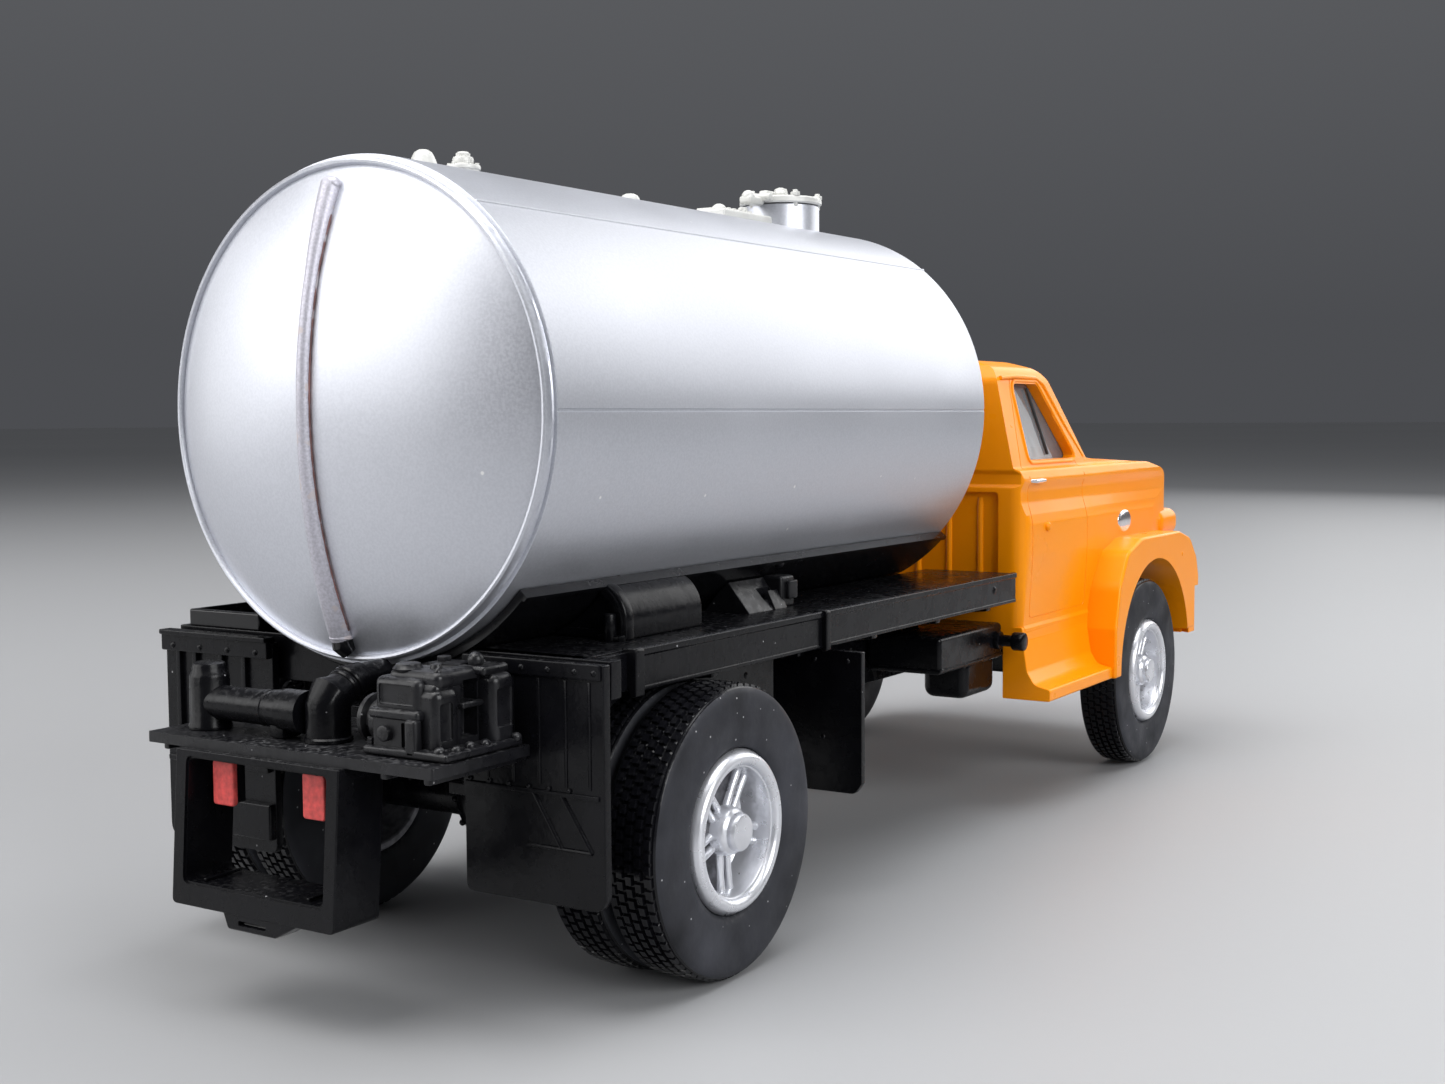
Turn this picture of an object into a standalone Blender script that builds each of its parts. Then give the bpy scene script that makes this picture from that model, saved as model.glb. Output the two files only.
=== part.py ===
"""Toy tanker truck, 1:64 collectible: a two-axle cab and chassis with a round tank body.

Every piece of the model is its own object: the castings and mouldings, the tank's shells and heads,
the fittings, and two wheelsets (axle, hubs and tyres) that turn in bearings under the chassis.

Axes: +X forward, +Y left, +Z up. The origin is on the ground under the middle of the overall length.
All the numbers below are millimetres on the model; the helpers turn them into metres.
"""

import math

import bmesh
import bpy
from mathutils import Matrix, Vector

MM = 0.001
GAP = 0.06  # between two pieces that are glued, snapped or pressed together

# Overall
REAR_END = -52.34
FRONT_END = 52.34

# Wheels
REAR_AXLE_X = -33.17
FRONT_AXLE_X = 37.4
TYRE_R = 8.25
AXLE_Z = TYRE_R
TYRE_W = 3.55
DUAL_GAP = 0.35
REAR_FACE_Y = 17.17  # outer face of the outer rear tyre
FRONT_FACE_Y = 16.7
BEAD_R = 4.66
RIM_R = 4.6
RIM_LIP = 0.16  # how far the rim's lip stands out of the tyre's face
AXLE_R = 0.5
BEARING_R = 0.62
HUB_CAP_R = 1.15
HUB_CAP_OUT = 0.28  # how far the cap stands out of the tyre's face
SPOKES = 5
FIRST_SPOKE = 57.0  # degrees up from straight ahead

# Tank
TANK_R = 13.73
TANK_Z = 31.5
TANK_REAR = -44.67
TANK_FRONT = 7.83
TANK_WALL = 0.9
TANK_TOP = TANK_Z + TANK_R
BEAD_W = 1.6  # the head's rounded rim, along X
HEAD_DEPTH = 2.8
HEAD_CROWN_R = 50.0
HEAD_KNUCKLE_R = 12.6
MANHOLE_X = 1.0
COUPLING_X = -16.1
SADDLE_IN_R = TANK_R + GAP
SADDLE_OUT_R = 14.25
SADDLE_HALF_ANGLE = 48.0  # degrees each side of the bottom of the tank

# Deck and chassis
DECK_TOP = 18.9
DECK_BOTTOM = 16.65
DECK_REAR = -43.3
DECK_FRONT = 12.1
RAIL_Y = 14.61
FRAME_TOP = 15.2
FRAME_BOTTOM = 11.0
FRAME_PLATE = 13.2  # underside of the plate between the frame rails
FRAME_Y = 6.75
RAIL_W = 1.65
FRAME_REAR = -43.4
FRAME_FRONT = 49.0

# Rear platform and guard
PLATFORM_TOP = 14.62
PLATFORM_T = 0.7
PLATFORM_REAR = -52.09
PLATFORM_FRONT = -44.45
PLATFORM_LEFT = 8.37
PLATFORM_RIGHT = -12.1
FLAP_REAR = -44.37
FLAP_T = 0.85

# Cab
CAB_REAR = 13.33
CAB_BOTTOM = 13.2
CAB_WALL = 0.8
ROOF_Z = 35.4
BELT_Z = 26.8
COWL_X = 29.6
NOSE_X = 50.6
ARCH_X = 38.0
ARCH_Z = 9.0
ARCH_R = 9.3
FENDER_Y = 17.25
STEP_Y = 16.9
STEP_BOTTOM = 8.8

SIDES = {"left": 1, "right": -1}


# ---------------------------------------------------------------- scene and collections


def clear_scene():
    for obj in list(bpy.data.objects):
        bpy.data.objects.remove(obj, do_unlink=True)


def new_collection(name):
    collection = bpy.data.collections.new(name)
    bpy.context.scene.collection.children.link(collection)
    return collection


clear_scene()
PARTS = new_collection("toy_tanker_truck")
CUTTERS = new_collection("cutters")


def new_material(name, colour, roughness, metallic=0.0, alpha=1.0):
    mat = bpy.data.materials.new(name)
    mat.use_nodes = True
    shader = mat.node_tree.nodes["Principled BSDF"]
    shader.inputs["Base Color"].default_value = (*colour, 1.0)
    shader.inputs["Roughness"].default_value = roughness
    shader.inputs["Metallic"].default_value = metallic
    shader.inputs["Alpha"].default_value = alpha
    return mat


FINISHES = {
    "orange": ((0.85, 0.2, 0.01), 0.22, 0.0, 1.0),
    "silver": ((0.6, 0.62, 0.66), 0.38, 0.7, 1.0),
    "black": ((0.012, 0.012, 0.014), 0.35, 0.0, 1.0),
    "rubber": ((0.02, 0.02, 0.022), 0.75, 0.0, 1.0),
    "wheel_silver": ((0.62, 0.62, 0.64), 0.4, 0.6, 1.0),
    "steel": ((0.5, 0.5, 0.52), 0.3, 1.0, 1.0),
    "red": ((0.5, 0.03, 0.02), 0.45, 0.0, 1.0),
    "clear": ((0.85, 0.87, 0.88), 0.05, 0.0, 0.35),
    "lamp": ((0.9, 0.9, 0.86), 0.15, 0.0, 1.0),
    "interior": ((0.03, 0.03, 0.03), 0.6, 0.0, 1.0),
}


# ---------------------------------------------------------------- modelling helpers


def place(name, bm, helper=False):
    """Turns a bmesh in millimetres into an object in metres. A helper is a cutter or an addition."""
    bmesh.ops.scale(bm, vec=(MM, MM, MM), verts=bm.verts)
    mesh = bpy.data.meshes.new(name)
    bm.to_mesh(mesh)
    bm.free()
    obj = bpy.data.objects.new(name, mesh)
    if helper:
        CUTTERS.objects.link(obj)
        obj.hide_render = True
        obj.display_type = "WIRE"
    else:
        PARTS.objects.link(obj)
    return obj


def add_bevel(obj, width, segments=2, angle=30.0):
    if width > 0:
        mod = obj.modifiers.new("bevel", "BEVEL")
        mod.width = width * MM
        mod.segments = segments
        mod.limit_method = "ANGLE"
        mod.angle_limit = math.radians(angle)
    return obj


def box(name, low, high, bevel=0.0, segments=2, helper=False):
    """A block between two corners, in either order."""
    low, high = Vector(low), Vector(high)
    size = Vector(abs(b - a) for a, b in zip(low, high))
    bm = bmesh.new()
    bmesh.ops.create_cube(bm, size=1.0, matrix=Matrix.Translation((low + high) / 2) @ Matrix.Diagonal((*size, 1.0)))
    return add_bevel(place(name, bm, helper), bevel, segments)


def rod(name, start, end, radius, end_radius=None, sides=14, bevel=0.0, helper=False):
    """A cylinder or cone between two points."""
    start, end = Vector(start), Vector(end)
    along = end - start
    turn = along.to_track_quat("Z", "Y").to_matrix().to_4x4()
    bm = bmesh.new()
    bmesh.ops.create_cone(
        bm,
        cap_ends=True,
        segments=sides,
        radius1=radius,
        radius2=radius if end_radius is None else end_radius,
        depth=along.length,
        matrix=Matrix.Translation((start + end) / 2) @ turn,
    )
    return add_bevel(place(name, bm, helper), bevel, 2, 40.0)


def ball(name, centre, radius, sides=16, helper=False):
    bm = bmesh.new()
    bmesh.ops.create_uvsphere(
        bm,
        u_segments=sides,
        v_segments=sides // 2,
        radius=radius,
        matrix=Matrix.Translation(centre),
    )
    return place(name, bm, helper)


TO_AXIS = {
    "X": Matrix(((0, 0, 1, 0), (1, 0, 0, 0), (0, 1, 0, 0), (0, 0, 0, 1))),
    "Y": Matrix(((1, 0, 0, 0), (0, 0, 1, 0), (0, 1, 0, 0), (0, 0, 0, 1))),
    "Z": Matrix.Identity(4),
}


def plate(name, outline, axis, low, high, bevel=0.0, segments=2, helper=False):
    """A flat outline, in the two axes left over (YZ, XZ or XY), thickened from low to high along axis."""
    bm = bmesh.new()
    corners = [bm.verts.new(TO_AXIS[axis] @ Vector((u, v, (low + high) / 2))) for u, v in outline]
    bm.faces.new(corners)
    obj = place(name, bm, helper)
    mod = obj.modifiers.new("thickness", "SOLIDIFY")
    mod.thickness = (high - low) * MM
    mod.offset = 0.0
    mod.use_even_offset = False
    return add_bevel(obj, bevel, segments)


def turned(name, profile, centre, direction, steps=48, helper=False):
    """A turned shape. profile lists (radius, height) down its outer side from the axis or round a closed
    loop, and direction is where +height points."""
    bm = bmesh.new()
    points = [bm.verts.new((r, 0, h)) for r, h in profile]
    closed = profile[0][0] > 0
    for a, b in zip(points, points[1:] + points[:1] if closed else points[1:]):
        bm.edges.new((a, b))
    obj = place(name, bm, helper)
    mod = obj.modifiers.new("turn", "SCREW")
    mod.axis = "Z"
    mod.steps = steps
    mod.render_steps = steps
    mod.use_merge_vertices = True
    mod.merge_threshold = 1e-6
    turn = Vector(direction).to_track_quat("Z", "Y").to_matrix().to_4x4()
    obj.matrix_world = Matrix.Translation(Vector(centre) * MM) @ turn
    return obj


def combine(obj, operation, *others):
    for other in others:
        mod = obj.modifiers.new(operation.lower(), "BOOLEAN")
        mod.operation = operation
        mod.object = other
        mod.solver = "EXACT"
    return obj


def join(obj, *others):
    return combine(obj, "UNION", *others)


def cut(obj, *others):
    return combine(obj, "DIFFERENCE", *others)


def paint(finish, *objects):
    """Gives each object its own material in one of the finishes, with round surfaces shaded smooth."""
    for obj in objects:
        obj.data.materials.append(new_material(obj.name, *FINISHES[finish]))
        if obj.data.polygons:
            obj.data.shade_smooth()
            obj.data.set_sharp_from_angle(angle=math.radians(35))
    return objects[0]


def arc(centre, radius, start, end, count):
    """Points on a circle from start to end, in degrees, both included."""
    step = (end - start) / count
    turns = [math.radians(start + step * i) for i in range(count + 1)]
    return [(centre[0] + radius * math.cos(t), centre[1] + radius * math.sin(t)) for t in turns]


def inset(outline, amount):
    """The outline moved inwards by amount; the outline runs anticlockwise."""
    moved = []
    count = len(outline)
    for i in range(count):
        before, here, after = (Vector(outline[(i + k) % count]) for k in (-1, 0, 1))
        d1, d2 = (here - before).normalized(), (after - here).normalized()
        n1, n2 = Vector((-d1.y, d1.x)), Vector((-d2.y, d2.x))
        middle = (n1 + n2).normalized()
        moved.append(tuple(here + middle * amount / middle.dot(n1)))
    return moved


# ---------------------------------------------------------------- wheelsets


def make_tyre(name, inner_y, side):
    """A tyre whose inner face is at inner_y: flat sidewalls, rounded shoulders and a crowned tread."""
    shoulder = 0.75
    profile = [
        (BEAD_R, TYRE_W - 0.15),
        (BEAD_R, 0.15),
        (BEAD_R + 0.5, 0.0),
        (TYRE_R - shoulder, 0.0),
        (TYRE_R, shoulder - 0.1),
        (TYRE_R, TYRE_W - shoulder + 0.1),
        (TYRE_R - shoulder, TYRE_W),
        (BEAD_R + 0.5, TYRE_W),
    ]
    x = REAR_AXLE_X if name.startswith("rear") else FRONT_AXLE_X
    tyre = turned(name, profile[::-1], (x, side * inner_y, AXLE_Z), (0, side, 0), steps=32)
    return paint("rubber", tyre)


def make_hub(name, x, face_y, width, side):
    """A deep cast wheel: barrel and outer lip, a dished disc with spokes, and a plain central cap.
    face_y is the tyre's outer face, and width how far the barrel runs inwards from it."""
    lip, floor = RIM_LIP, -1.55
    profile = [
        (0.0, floor),
        (3.3, floor),
        (3.75, -0.35),
        (3.9, lip),
        (RIM_R - 0.1, lip),
        (RIM_R, lip - 0.12),
        (RIM_R, -width),
        (3.7, -width),
        (3.7, floor - 0.9),
        (0.0, floor - 0.9),
    ]
    centre = (x, side * face_y, AXLE_Z)
    outward = (0, side, 0)
    hub = turned(name, profile, centre, outward, steps=24)
    cap = rod(
        f"{name}.cap",
        (x, side * (face_y + floor - 0.3), AXLE_Z),
        (x, side * (face_y + HUB_CAP_OUT), AXLE_Z),
        HUB_CAP_R,
        sides=16,
        helper=True,
    )
    join(hub, cap)
    for k in range(SPOKES):
        angle = math.radians(FIRST_SPOKE + 360.0 / SPOKES * k)
        along = Vector((math.cos(angle), 0, math.sin(angle)))
        depth = Vector((x, side * (face_y - 1.0), AXLE_Z))
        spoke = rod(f"{name}.spoke", depth + along * 0.85, depth + along * 3.72, 0.55, 0.45, sides=6, helper=True)
        join(hub, spoke)
    if width > TYRE_W:
        boss = rod(
            f"{name}.boss",
            (x, side * (face_y - width), AXLE_Z),
            (x, side * (face_y + floor - 0.5), AXLE_Z),
            1.5,
            sides=16,
            helper=True,
        )
        join(hub, boss)
    bore = rod(
        f"{name}.bore",
        (x, side * (face_y - width - 1), AXLE_Z),
        (x, side * (face_y - 0.9), AXLE_Z),
        AXLE_R + 0.05,
        sides=16,
        helper=True,
    )
    cut(hub, bore)
    return paint("wheel_silver", hub)


def make_wheelsets():
    dual_w = 2 * TYRE_W + DUAL_GAP
    for label, side in SIDES.items():
        make_tyre(f"front_tyre_{label}", FRONT_FACE_Y - TYRE_W, side)
        make_tyre(f"rear_tyre_{label}_outer", REAR_FACE_Y - TYRE_W, side)
        make_tyre(f"rear_tyre_{label}_inner", REAR_FACE_Y - dual_w, side)
        make_hub(f"front_hub_{label}", FRONT_AXLE_X, FRONT_FACE_Y, TYRE_W, side)
        make_hub(f"rear_hub_{label}", REAR_AXLE_X, REAR_FACE_Y, dual_w, side)
    for name, x, face_y in (("front_axle", FRONT_AXLE_X, FRONT_FACE_Y), ("rear_axle", REAR_AXLE_X, REAR_FACE_Y)):
        reach = face_y - 1.0
        axle = rod(name, (x, -reach, AXLE_Z), (x, reach, AXLE_Z), AXLE_R, sides=16)
        paint("steel", axle)


# ---------------------------------------------------------------- chassis


def make_chassis():
    """A channel: one plate with a rail down each side, plus the bearing blocks that hold the axles."""
    frame = box("chassis_frame", (FRAME_REAR, -FRAME_Y, FRAME_PLATE), (FRAME_FRONT, FRAME_Y, FRAME_TOP))
    for side in SIDES.values():
        rail = box(
            "chassis_frame.rail",
            (FRAME_REAR, side * FRAME_Y, FRAME_BOTTOM),
            (FRAME_FRONT, side * (FRAME_Y - RAIL_W), FRAME_PLATE + 0.5),
            helper=True,
        )
        join(frame, rail)
    screws = {"chassis_screw_front": 22.0, "chassis_screw_rear": -14.0}
    for name, x in screws.items():
        hole = rod(f"{name}.hole", (x, 0, FRAME_PLATE - 1), (x, 0, FRAME_TOP + 1), 0.8, helper=True)
        cut(frame, hole)
        make_screw(name, x)
    paint("black", frame)

    rear = rod("rear_axle_housing", (REAR_AXLE_X, -8.6, AXLE_Z), (REAR_AXLE_X, 8.6, AXLE_Z), 1.35, sides=20)
    bulb = ball("rear_axle_housing.differential", (REAR_AXLE_X, 0, AXLE_Z), 2.5, helper=True)
    pads = [
        box(
            "rear_axle_housing.pad",
            (REAR_AXLE_X - 1.6, side * 5.2, AXLE_Z),
            (REAR_AXLE_X + 1.6, side * 6.7, FRAME_BOTTOM - GAP),
            helper=True,
        )
        for side in SIDES.values()
    ]
    join(rear, bulb, *pads)
    cut(rear, bearing_bore("rear_axle_housing.bore", REAR_AXLE_X, 9.5))
    paint("black", rear)

    front = box("front_axle_beam", (FRONT_AXLE_X - 1.1, -9.0, 7.2), (FRONT_AXLE_X + 1.1, 9.0, 9.3), bevel=0.3)
    seats = [
        box(
            "front_axle_beam.seat",
            (FRONT_AXLE_X - 1.5, side * 5.2, 8.6),
            (FRONT_AXLE_X + 1.5, side * 6.7, FRAME_BOTTOM - GAP),
            helper=True,
        )
        for side in SIDES.values()
    ]
    join(front, *seats)
    cut(front, bearing_bore("front_axle_beam.bore", FRONT_AXLE_X, 10.0))
    paint("black", front)


def bearing_bore(name, x, reach):
    return rod(name, (x, -reach, AXLE_Z), (x, reach, AXLE_Z), BEARING_R, sides=20, helper=True)


def make_screw(name, x):
    """A cross-head screw, driven from below through the chassis plate."""
    head_top = FRAME_PLATE - GAP
    screw = rod(name, (x, 0, head_top - 0.7), (x, 0, head_top), 1.35, sides=20)
    shank = rod(f"{name}.shank", (x, 0, head_top - 0.2), (x, 0, FRAME_TOP - 0.1), 0.65, sides=16, helper=True)
    slots = [
        box(
            f"{name}.slot",
            (x - along, -across, head_top - 1.0),
            (x + along, across, head_top - 0.45),
            helper=True,
        )
        for along, across in ((0.8, 0.14), (0.14, 0.8))
    ]
    cut(join(screw, shank), *slots)
    paint("steel", screw)


# ---------------------------------------------------------------- deck and what stands on it


def saddle_form(name):
    """The saddle's outside, with a gap, for shaping what stands against it."""
    ends = (DECK_REAR - 2, 0, TANK_Z), (DECK_FRONT + 2, 0, TANK_Z)
    return rod(name, *ends, SADDLE_OUT_R + GAP + 0.04, sides=60, helper=True)


def make_deck():
    deck = box("deck", (DECK_REAR, -13.9, DECK_BOTTOM), (DECK_FRONT, 13.9, DECK_TOP))
    for side in SIDES.values():
        rail = box(
            "deck.rail",
            (-38.9, side * 13.5, DECK_BOTTOM),
            (DECK_FRONT, side * RAIL_Y, DECK_TOP),
            bevel=0.12,
            helper=True,
        )
        rear_rail = box(
            "deck.rear_rail",
            (DECK_REAR + 0.4, side * 13.5, DECK_BOTTOM + 0.1),
            (-38.0, side * 14.3, DECK_TOP - 0.1),
            helper=True,
        )
        straps = [
            box(
                "deck.strap",
                (x - 0.35, side * 14.0, DECK_BOTTOM - 0.25),
                (x + 0.35, side * (RAIL_Y + 0.22), DECK_TOP + 0.06),
                bevel=0.1,
                helper=True,
            )
            for x in (-39.2, -18.6)
        ]
        foot = box(
            "deck.bearer",
            (DECK_REAR + 1.0, side * 5.0, FRAME_TOP + GAP),
            (DECK_FRONT - 1.0, side * 6.7, DECK_BOTTOM + 0.3),
            helper=True,
        )
        join(deck, rail, rear_rail, *straps, foot)
    half = [(15.9, 16.9), (15.9, DECK_TOP)]
    rear_beam = plate(
        "deck.rear_beam",
        [(-15.0, 16.25), (15.0, 16.25), *half, *[(-u, v) for u, v in reversed(half)]],
        "X",
        DECK_REAR,
        DECK_REAR + 0.9,
        helper=True,
    )
    join(deck, rear_beam)
    cut(deck, saddle_form("deck.trough"))
    paint("black", deck)


def make_saddle():
    """The cradle under the tank, concentric with it, with a small lip along each upper edge."""
    half = SADDLE_HALF_ANGLE
    outline = [
        *arc((0, TANK_Z), SADDLE_OUT_R, -90 - half, -90 + half, 28),
        *arc((0, TANK_Z), SADDLE_IN_R + 0.05, -90 + half, -90 - half, 28),
    ]
    saddle = plate("tank_saddle", outline, "X", TANK_REAR + BEAD_W - 0.4, TANK_FRONT - 0.2)
    paint("black", saddle)


def make_deck_box():
    """The rounded locker on the right of the deck, whose top runs in to the saddle's lip."""
    base = DECK_TOP + GAP
    outline = [(-6.5, base), (-6.5, 22.1), *arc((-9.65, 19.9), 2.2, 90, 180, 6), (-11.85, base)]
    locker = plate("deck_locker", outline, "X", -36.5, -28.5, bevel=0.2)
    cut(locker, saddle_form("deck_locker.saddle_form"))
    paint("black", locker)


def make_wedge():
    """A ridge-shaped chock on the right of the deck, notched near its front, and a clamp beyond it."""
    base = DECK_TOP + GAP
    wedge = plate("wedge_bracket", [(-7.7, base), (-9.4, 20.9), (-11.1, base)], "X", -22.0, -17.4)
    notch = plate("wedge_bracket.notch", [(-19.6, 20.6), (-19.6, 19.5), (-17.9, 19.5)], "Y", -12.0, -10.1, helper=True)
    cut(wedge, notch, saddle_form("wedge_bracket.saddle_form"))
    paint("black", wedge)

    foot = Vector((COUPLING_X, -10.95, base))
    head = Vector((COUPLING_X, -10.95, 21.3))
    body = box("hose_coupling", foot - Vector((0.8, 0.7, 0)), head + Vector((0.8, 0.7, 0)), bevel=0.2)
    drum = rod("hose_coupling.drum", head - Vector((1.2, 0, 0)), head + Vector((1.2, 0, 0)), 0.95, helper=True)
    eye = rod("hose_coupling.eye", head + Vector((-1.5, 0, 0.1)), head + Vector((-0.9, 0, 0.1)), 0.45, helper=True)
    join(body, drum)
    cut(body, eye, saddle_form("hose_coupling.saddle_form"))
    paint("black", body)


def make_hose_tray():
    """A shallow open tray on the left of the deck, with a raised rim all round."""
    floor = DECK_TOP + GAP
    low, high = Vector((DECK_REAR, 9.2, floor)), Vector((-19.0, 15.1, 19.9))
    tray = box("hose_tray", low, high, bevel=0.1)
    rim = 0.38
    well = box(
        "hose_tray.well",
        (low.x + rim, low.y + rim, floor + 0.25),
        (high.x - rim, high.y - rim, high.z + 1),
        bevel=0.15,
        helper=True,
    )
    cut(tray, well)
    paint("black", tray)


# ---------------------------------------------------------------- tank


def half_shell(name, start, end, end_trim):
    """Half of the tank's barrel, between two angles seen from the front."""
    outline = [
        *arc((0, TANK_Z), TANK_R, start + end_trim, end - end_trim, 32),
        *arc((0, TANK_Z), TANK_R - TANK_WALL, end - end_trim, start + end_trim, 32),
    ]
    shell = plate(name, outline, "X", TANK_REAR + BEAD_W + GAP, TANK_FRONT - BEAD_W - GAP)
    return paint("silver", shell)


def head_depth(radius):
    """How far the dished head stands out of its rim plane at a radius from the tank's axis."""
    if radius <= HEAD_KNUCKLE_R:
        return HEAD_DEPTH - radius**2 / (2 * HEAD_CROWN_R)
    edge = HEAD_DEPTH - HEAD_KNUCKLE_R**2 / (2 * HEAD_CROWN_R)
    share = (radius - HEAD_KNUCKLE_R) / (TANK_R - HEAD_KNUCKLE_R)
    return edge * math.sqrt(max(0.0, 1 - share**2))


def make_head(name, rim_x, direction):
    radii = [0.0, 4.0, 8.0, 11.0, HEAD_KNUCKLE_R, 13.25, 13.62]
    outer = [(r, head_depth(r)) for r in radii]
    bead = [(TANK_R, 0.0), (TANK_R + 0.1, -0.4), (TANK_R + 0.1, -1.2), (TANK_R, -BEAD_W)]
    inner_r = TANK_R - TANK_WALL
    inner = [(inner_r, -BEAD_W), (inner_r, 0.0), (9.0, HEAD_DEPTH - 1.8), (0.0, HEAD_DEPTH - 1.0)]
    head = turned(name, outer + bead + inner, (rim_x, 0, TANK_Z), (direction, 0, 0), steps=40)
    return paint("silver", head)


def tube(name, points, radius, finish):
    """A round tube along a route."""
    curve = bpy.data.curves.new(name, "CURVE")
    curve.dimensions = "3D"
    curve.bevel_depth = radius * MM
    curve.bevel_resolution = 2
    curve.use_fill_caps = True
    spline = curve.splines.new("POLY")
    spline.points.add(len(points) - 1)
    for point, place_at in zip(spline.points, points):
        point.co = (*(Vector(place_at) * MM), 1.0)
    obj = bpy.data.objects.new(name, curve)
    PARTS.objects.link(obj)
    obj.data.materials.append(new_material(name, *FINISHES[finish]))
    return obj


def make_sight_tube():
    """The level gauge that runs down the middle of the rear head."""
    radius = 0.48
    top, bottom, count = 43.3, 19.3, 14
    points = []
    for i in range(count + 1):
        z = top + (bottom - top) * i / count
        depth = head_depth(abs(z - TANK_Z))
        points.append((TANK_REAR - depth - radius - GAP, 0, z))
    tube("sight_tube", points, radius, "silver")


def make_tank():
    half_shell("tank_upper_shell", 0, 180, 0.13)
    half_shell("tank_lower_shell", 180, 360, 0.13)
    make_head("rear_head", TANK_REAR, -1)
    make_head("front_head", TANK_FRONT, 1)
    make_sight_tube()
    make_top_fittings()


def make_top_fittings():
    seat = TANK_TOP + GAP
    dome_profile = [(0, 0.95), (0.45, 0.85), (0.7, 0.5), (0.75, 0.0), (0, 0.0)]
    paint("silver", turned("dome_vent", dome_profile, (-38.8, 0, seat), (0, 0, 1), steps=20))
    valve_profile = [(0, 1.25), (0.4, 1.2), (0.55, 1.0), (0.55, 0.55), (0.75, 0.5), (1.0, 0.4), (1.0, 0), (0, 0)]
    paint("silver", turned("relief_valve", valve_profile, (-35.4, 0, seat), (0, 0, 1), steps=20))
    small_profile = [(0, 0.62), (0.45, 0.55), (0.75, 0.3), (0.85, 0.0), (0, 0)]
    paint("silver", turned("small_vent", small_profile, (-18.7, 0, seat), (0, 0, 1), steps=20))

    tank_form = rod(
        "tank_form",
        (TANK_REAR, 0, TANK_Z),
        (TANK_FRONT, 0, TANK_Z),
        TANK_R + GAP,
        sides=128,
        helper=True,
    )
    bracket = box("step_plate", (-9.2, -1.4, 44.8), (-4.4, 1.4, 45.75), bevel=0.12)
    knob = ball("step_plate.knob", (-7.2, 0, 45.7), 0.65, helper=True)
    cut(join(bracket, knob), tank_form)
    paint("silver", bracket)

    collar = rod("manhole_collar", (MANHOLE_X, 0, 44.2), (MANHOLE_X, 0, 46.7), 2.75, sides=28)
    cut(collar, tank_form)
    paint("silver", collar)
    lid_z = 46.7 + GAP
    lid_profile = [(0, 0.95), (1.4, 0.85), (2.3, 0.6), (2.75, 0.4), (3.1, 0.4), (3.1, 0), (0, 0)]
    lid = turned("manhole_lid", lid_profile, (MANHOLE_X, 0, lid_z), (0, 0, 1), steps=28)
    hinge = box(
        "manhole_lid.hinge",
        (MANHOLE_X - 3.6, -0.8, lid_z),
        (MANHOLE_X - 2.6, 0.8, lid_z + 0.75),
        bevel=0.12,
        helper=True,
    )
    clamp = box(
        "manhole_lid.clamp",
        (MANHOLE_X - 2.4, -0.4, lid_z + 0.3),
        (MANHOLE_X + 3.2, 0.4, lid_z + 1.2),
        bevel=0.1,
        helper=True,
    )
    nut = rod("manhole_lid.nut", (MANHOLE_X, 0, lid_z + 0.5), (MANHOLE_X, 0, lid_z + 1.55), 0.5, sides=14, helper=True)
    join(lid, hinge, clamp, nut)
    paint("silver", lid)


# ---------------------------------------------------------------- rear platform, pump and guard


def make_platform():
    low = PLATFORM_TOP - PLATFORM_T
    platform = box("pump_platform", (PLATFORM_REAR, PLATFORM_RIGHT, low), (PLATFORM_FRONT, PLATFORM_LEFT, PLATFORM_TOP), bevel=0.12)
    tongue = box("pump_platform.tongue", (PLATFORM_FRONT - 1, -4.6, low), (FRAME_REAR - GAP, 4.6, PLATFORM_TOP), helper=True)
    join(platform, tongue)
    paint("black", platform)


def make_pump():
    base = PLATFORM_TOP + GAP
    pump = box("pump_unit", (-50.3, -10.5, base), (-45.3, -6.2, 18.1), bevel=0.25)
    blocks = [
        box("pump_unit.head", (-49.6, -10.0, 17.5), (-45.9, -6.9, 18.9), bevel=0.3, helper=True),
        box("pump_unit.front_block", (-47.0, -11.3, base), (-45.0, -9.0, 18.4), bevel=0.25, helper=True),
        rod("pump_unit.cap", (-46.6, -9.9, 17.5), (-46.6, -9.9, 19.2), 0.5, helper=True, bevel=0.12),
        rod("pump_unit.pulley", (-48.4, -5.0, 16.2), (-48.4, -6.5, 16.2), 1.1, helper=True, bevel=0.1),
    ]
    join(pump, *blocks)
    paint("black", pump)


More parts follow.
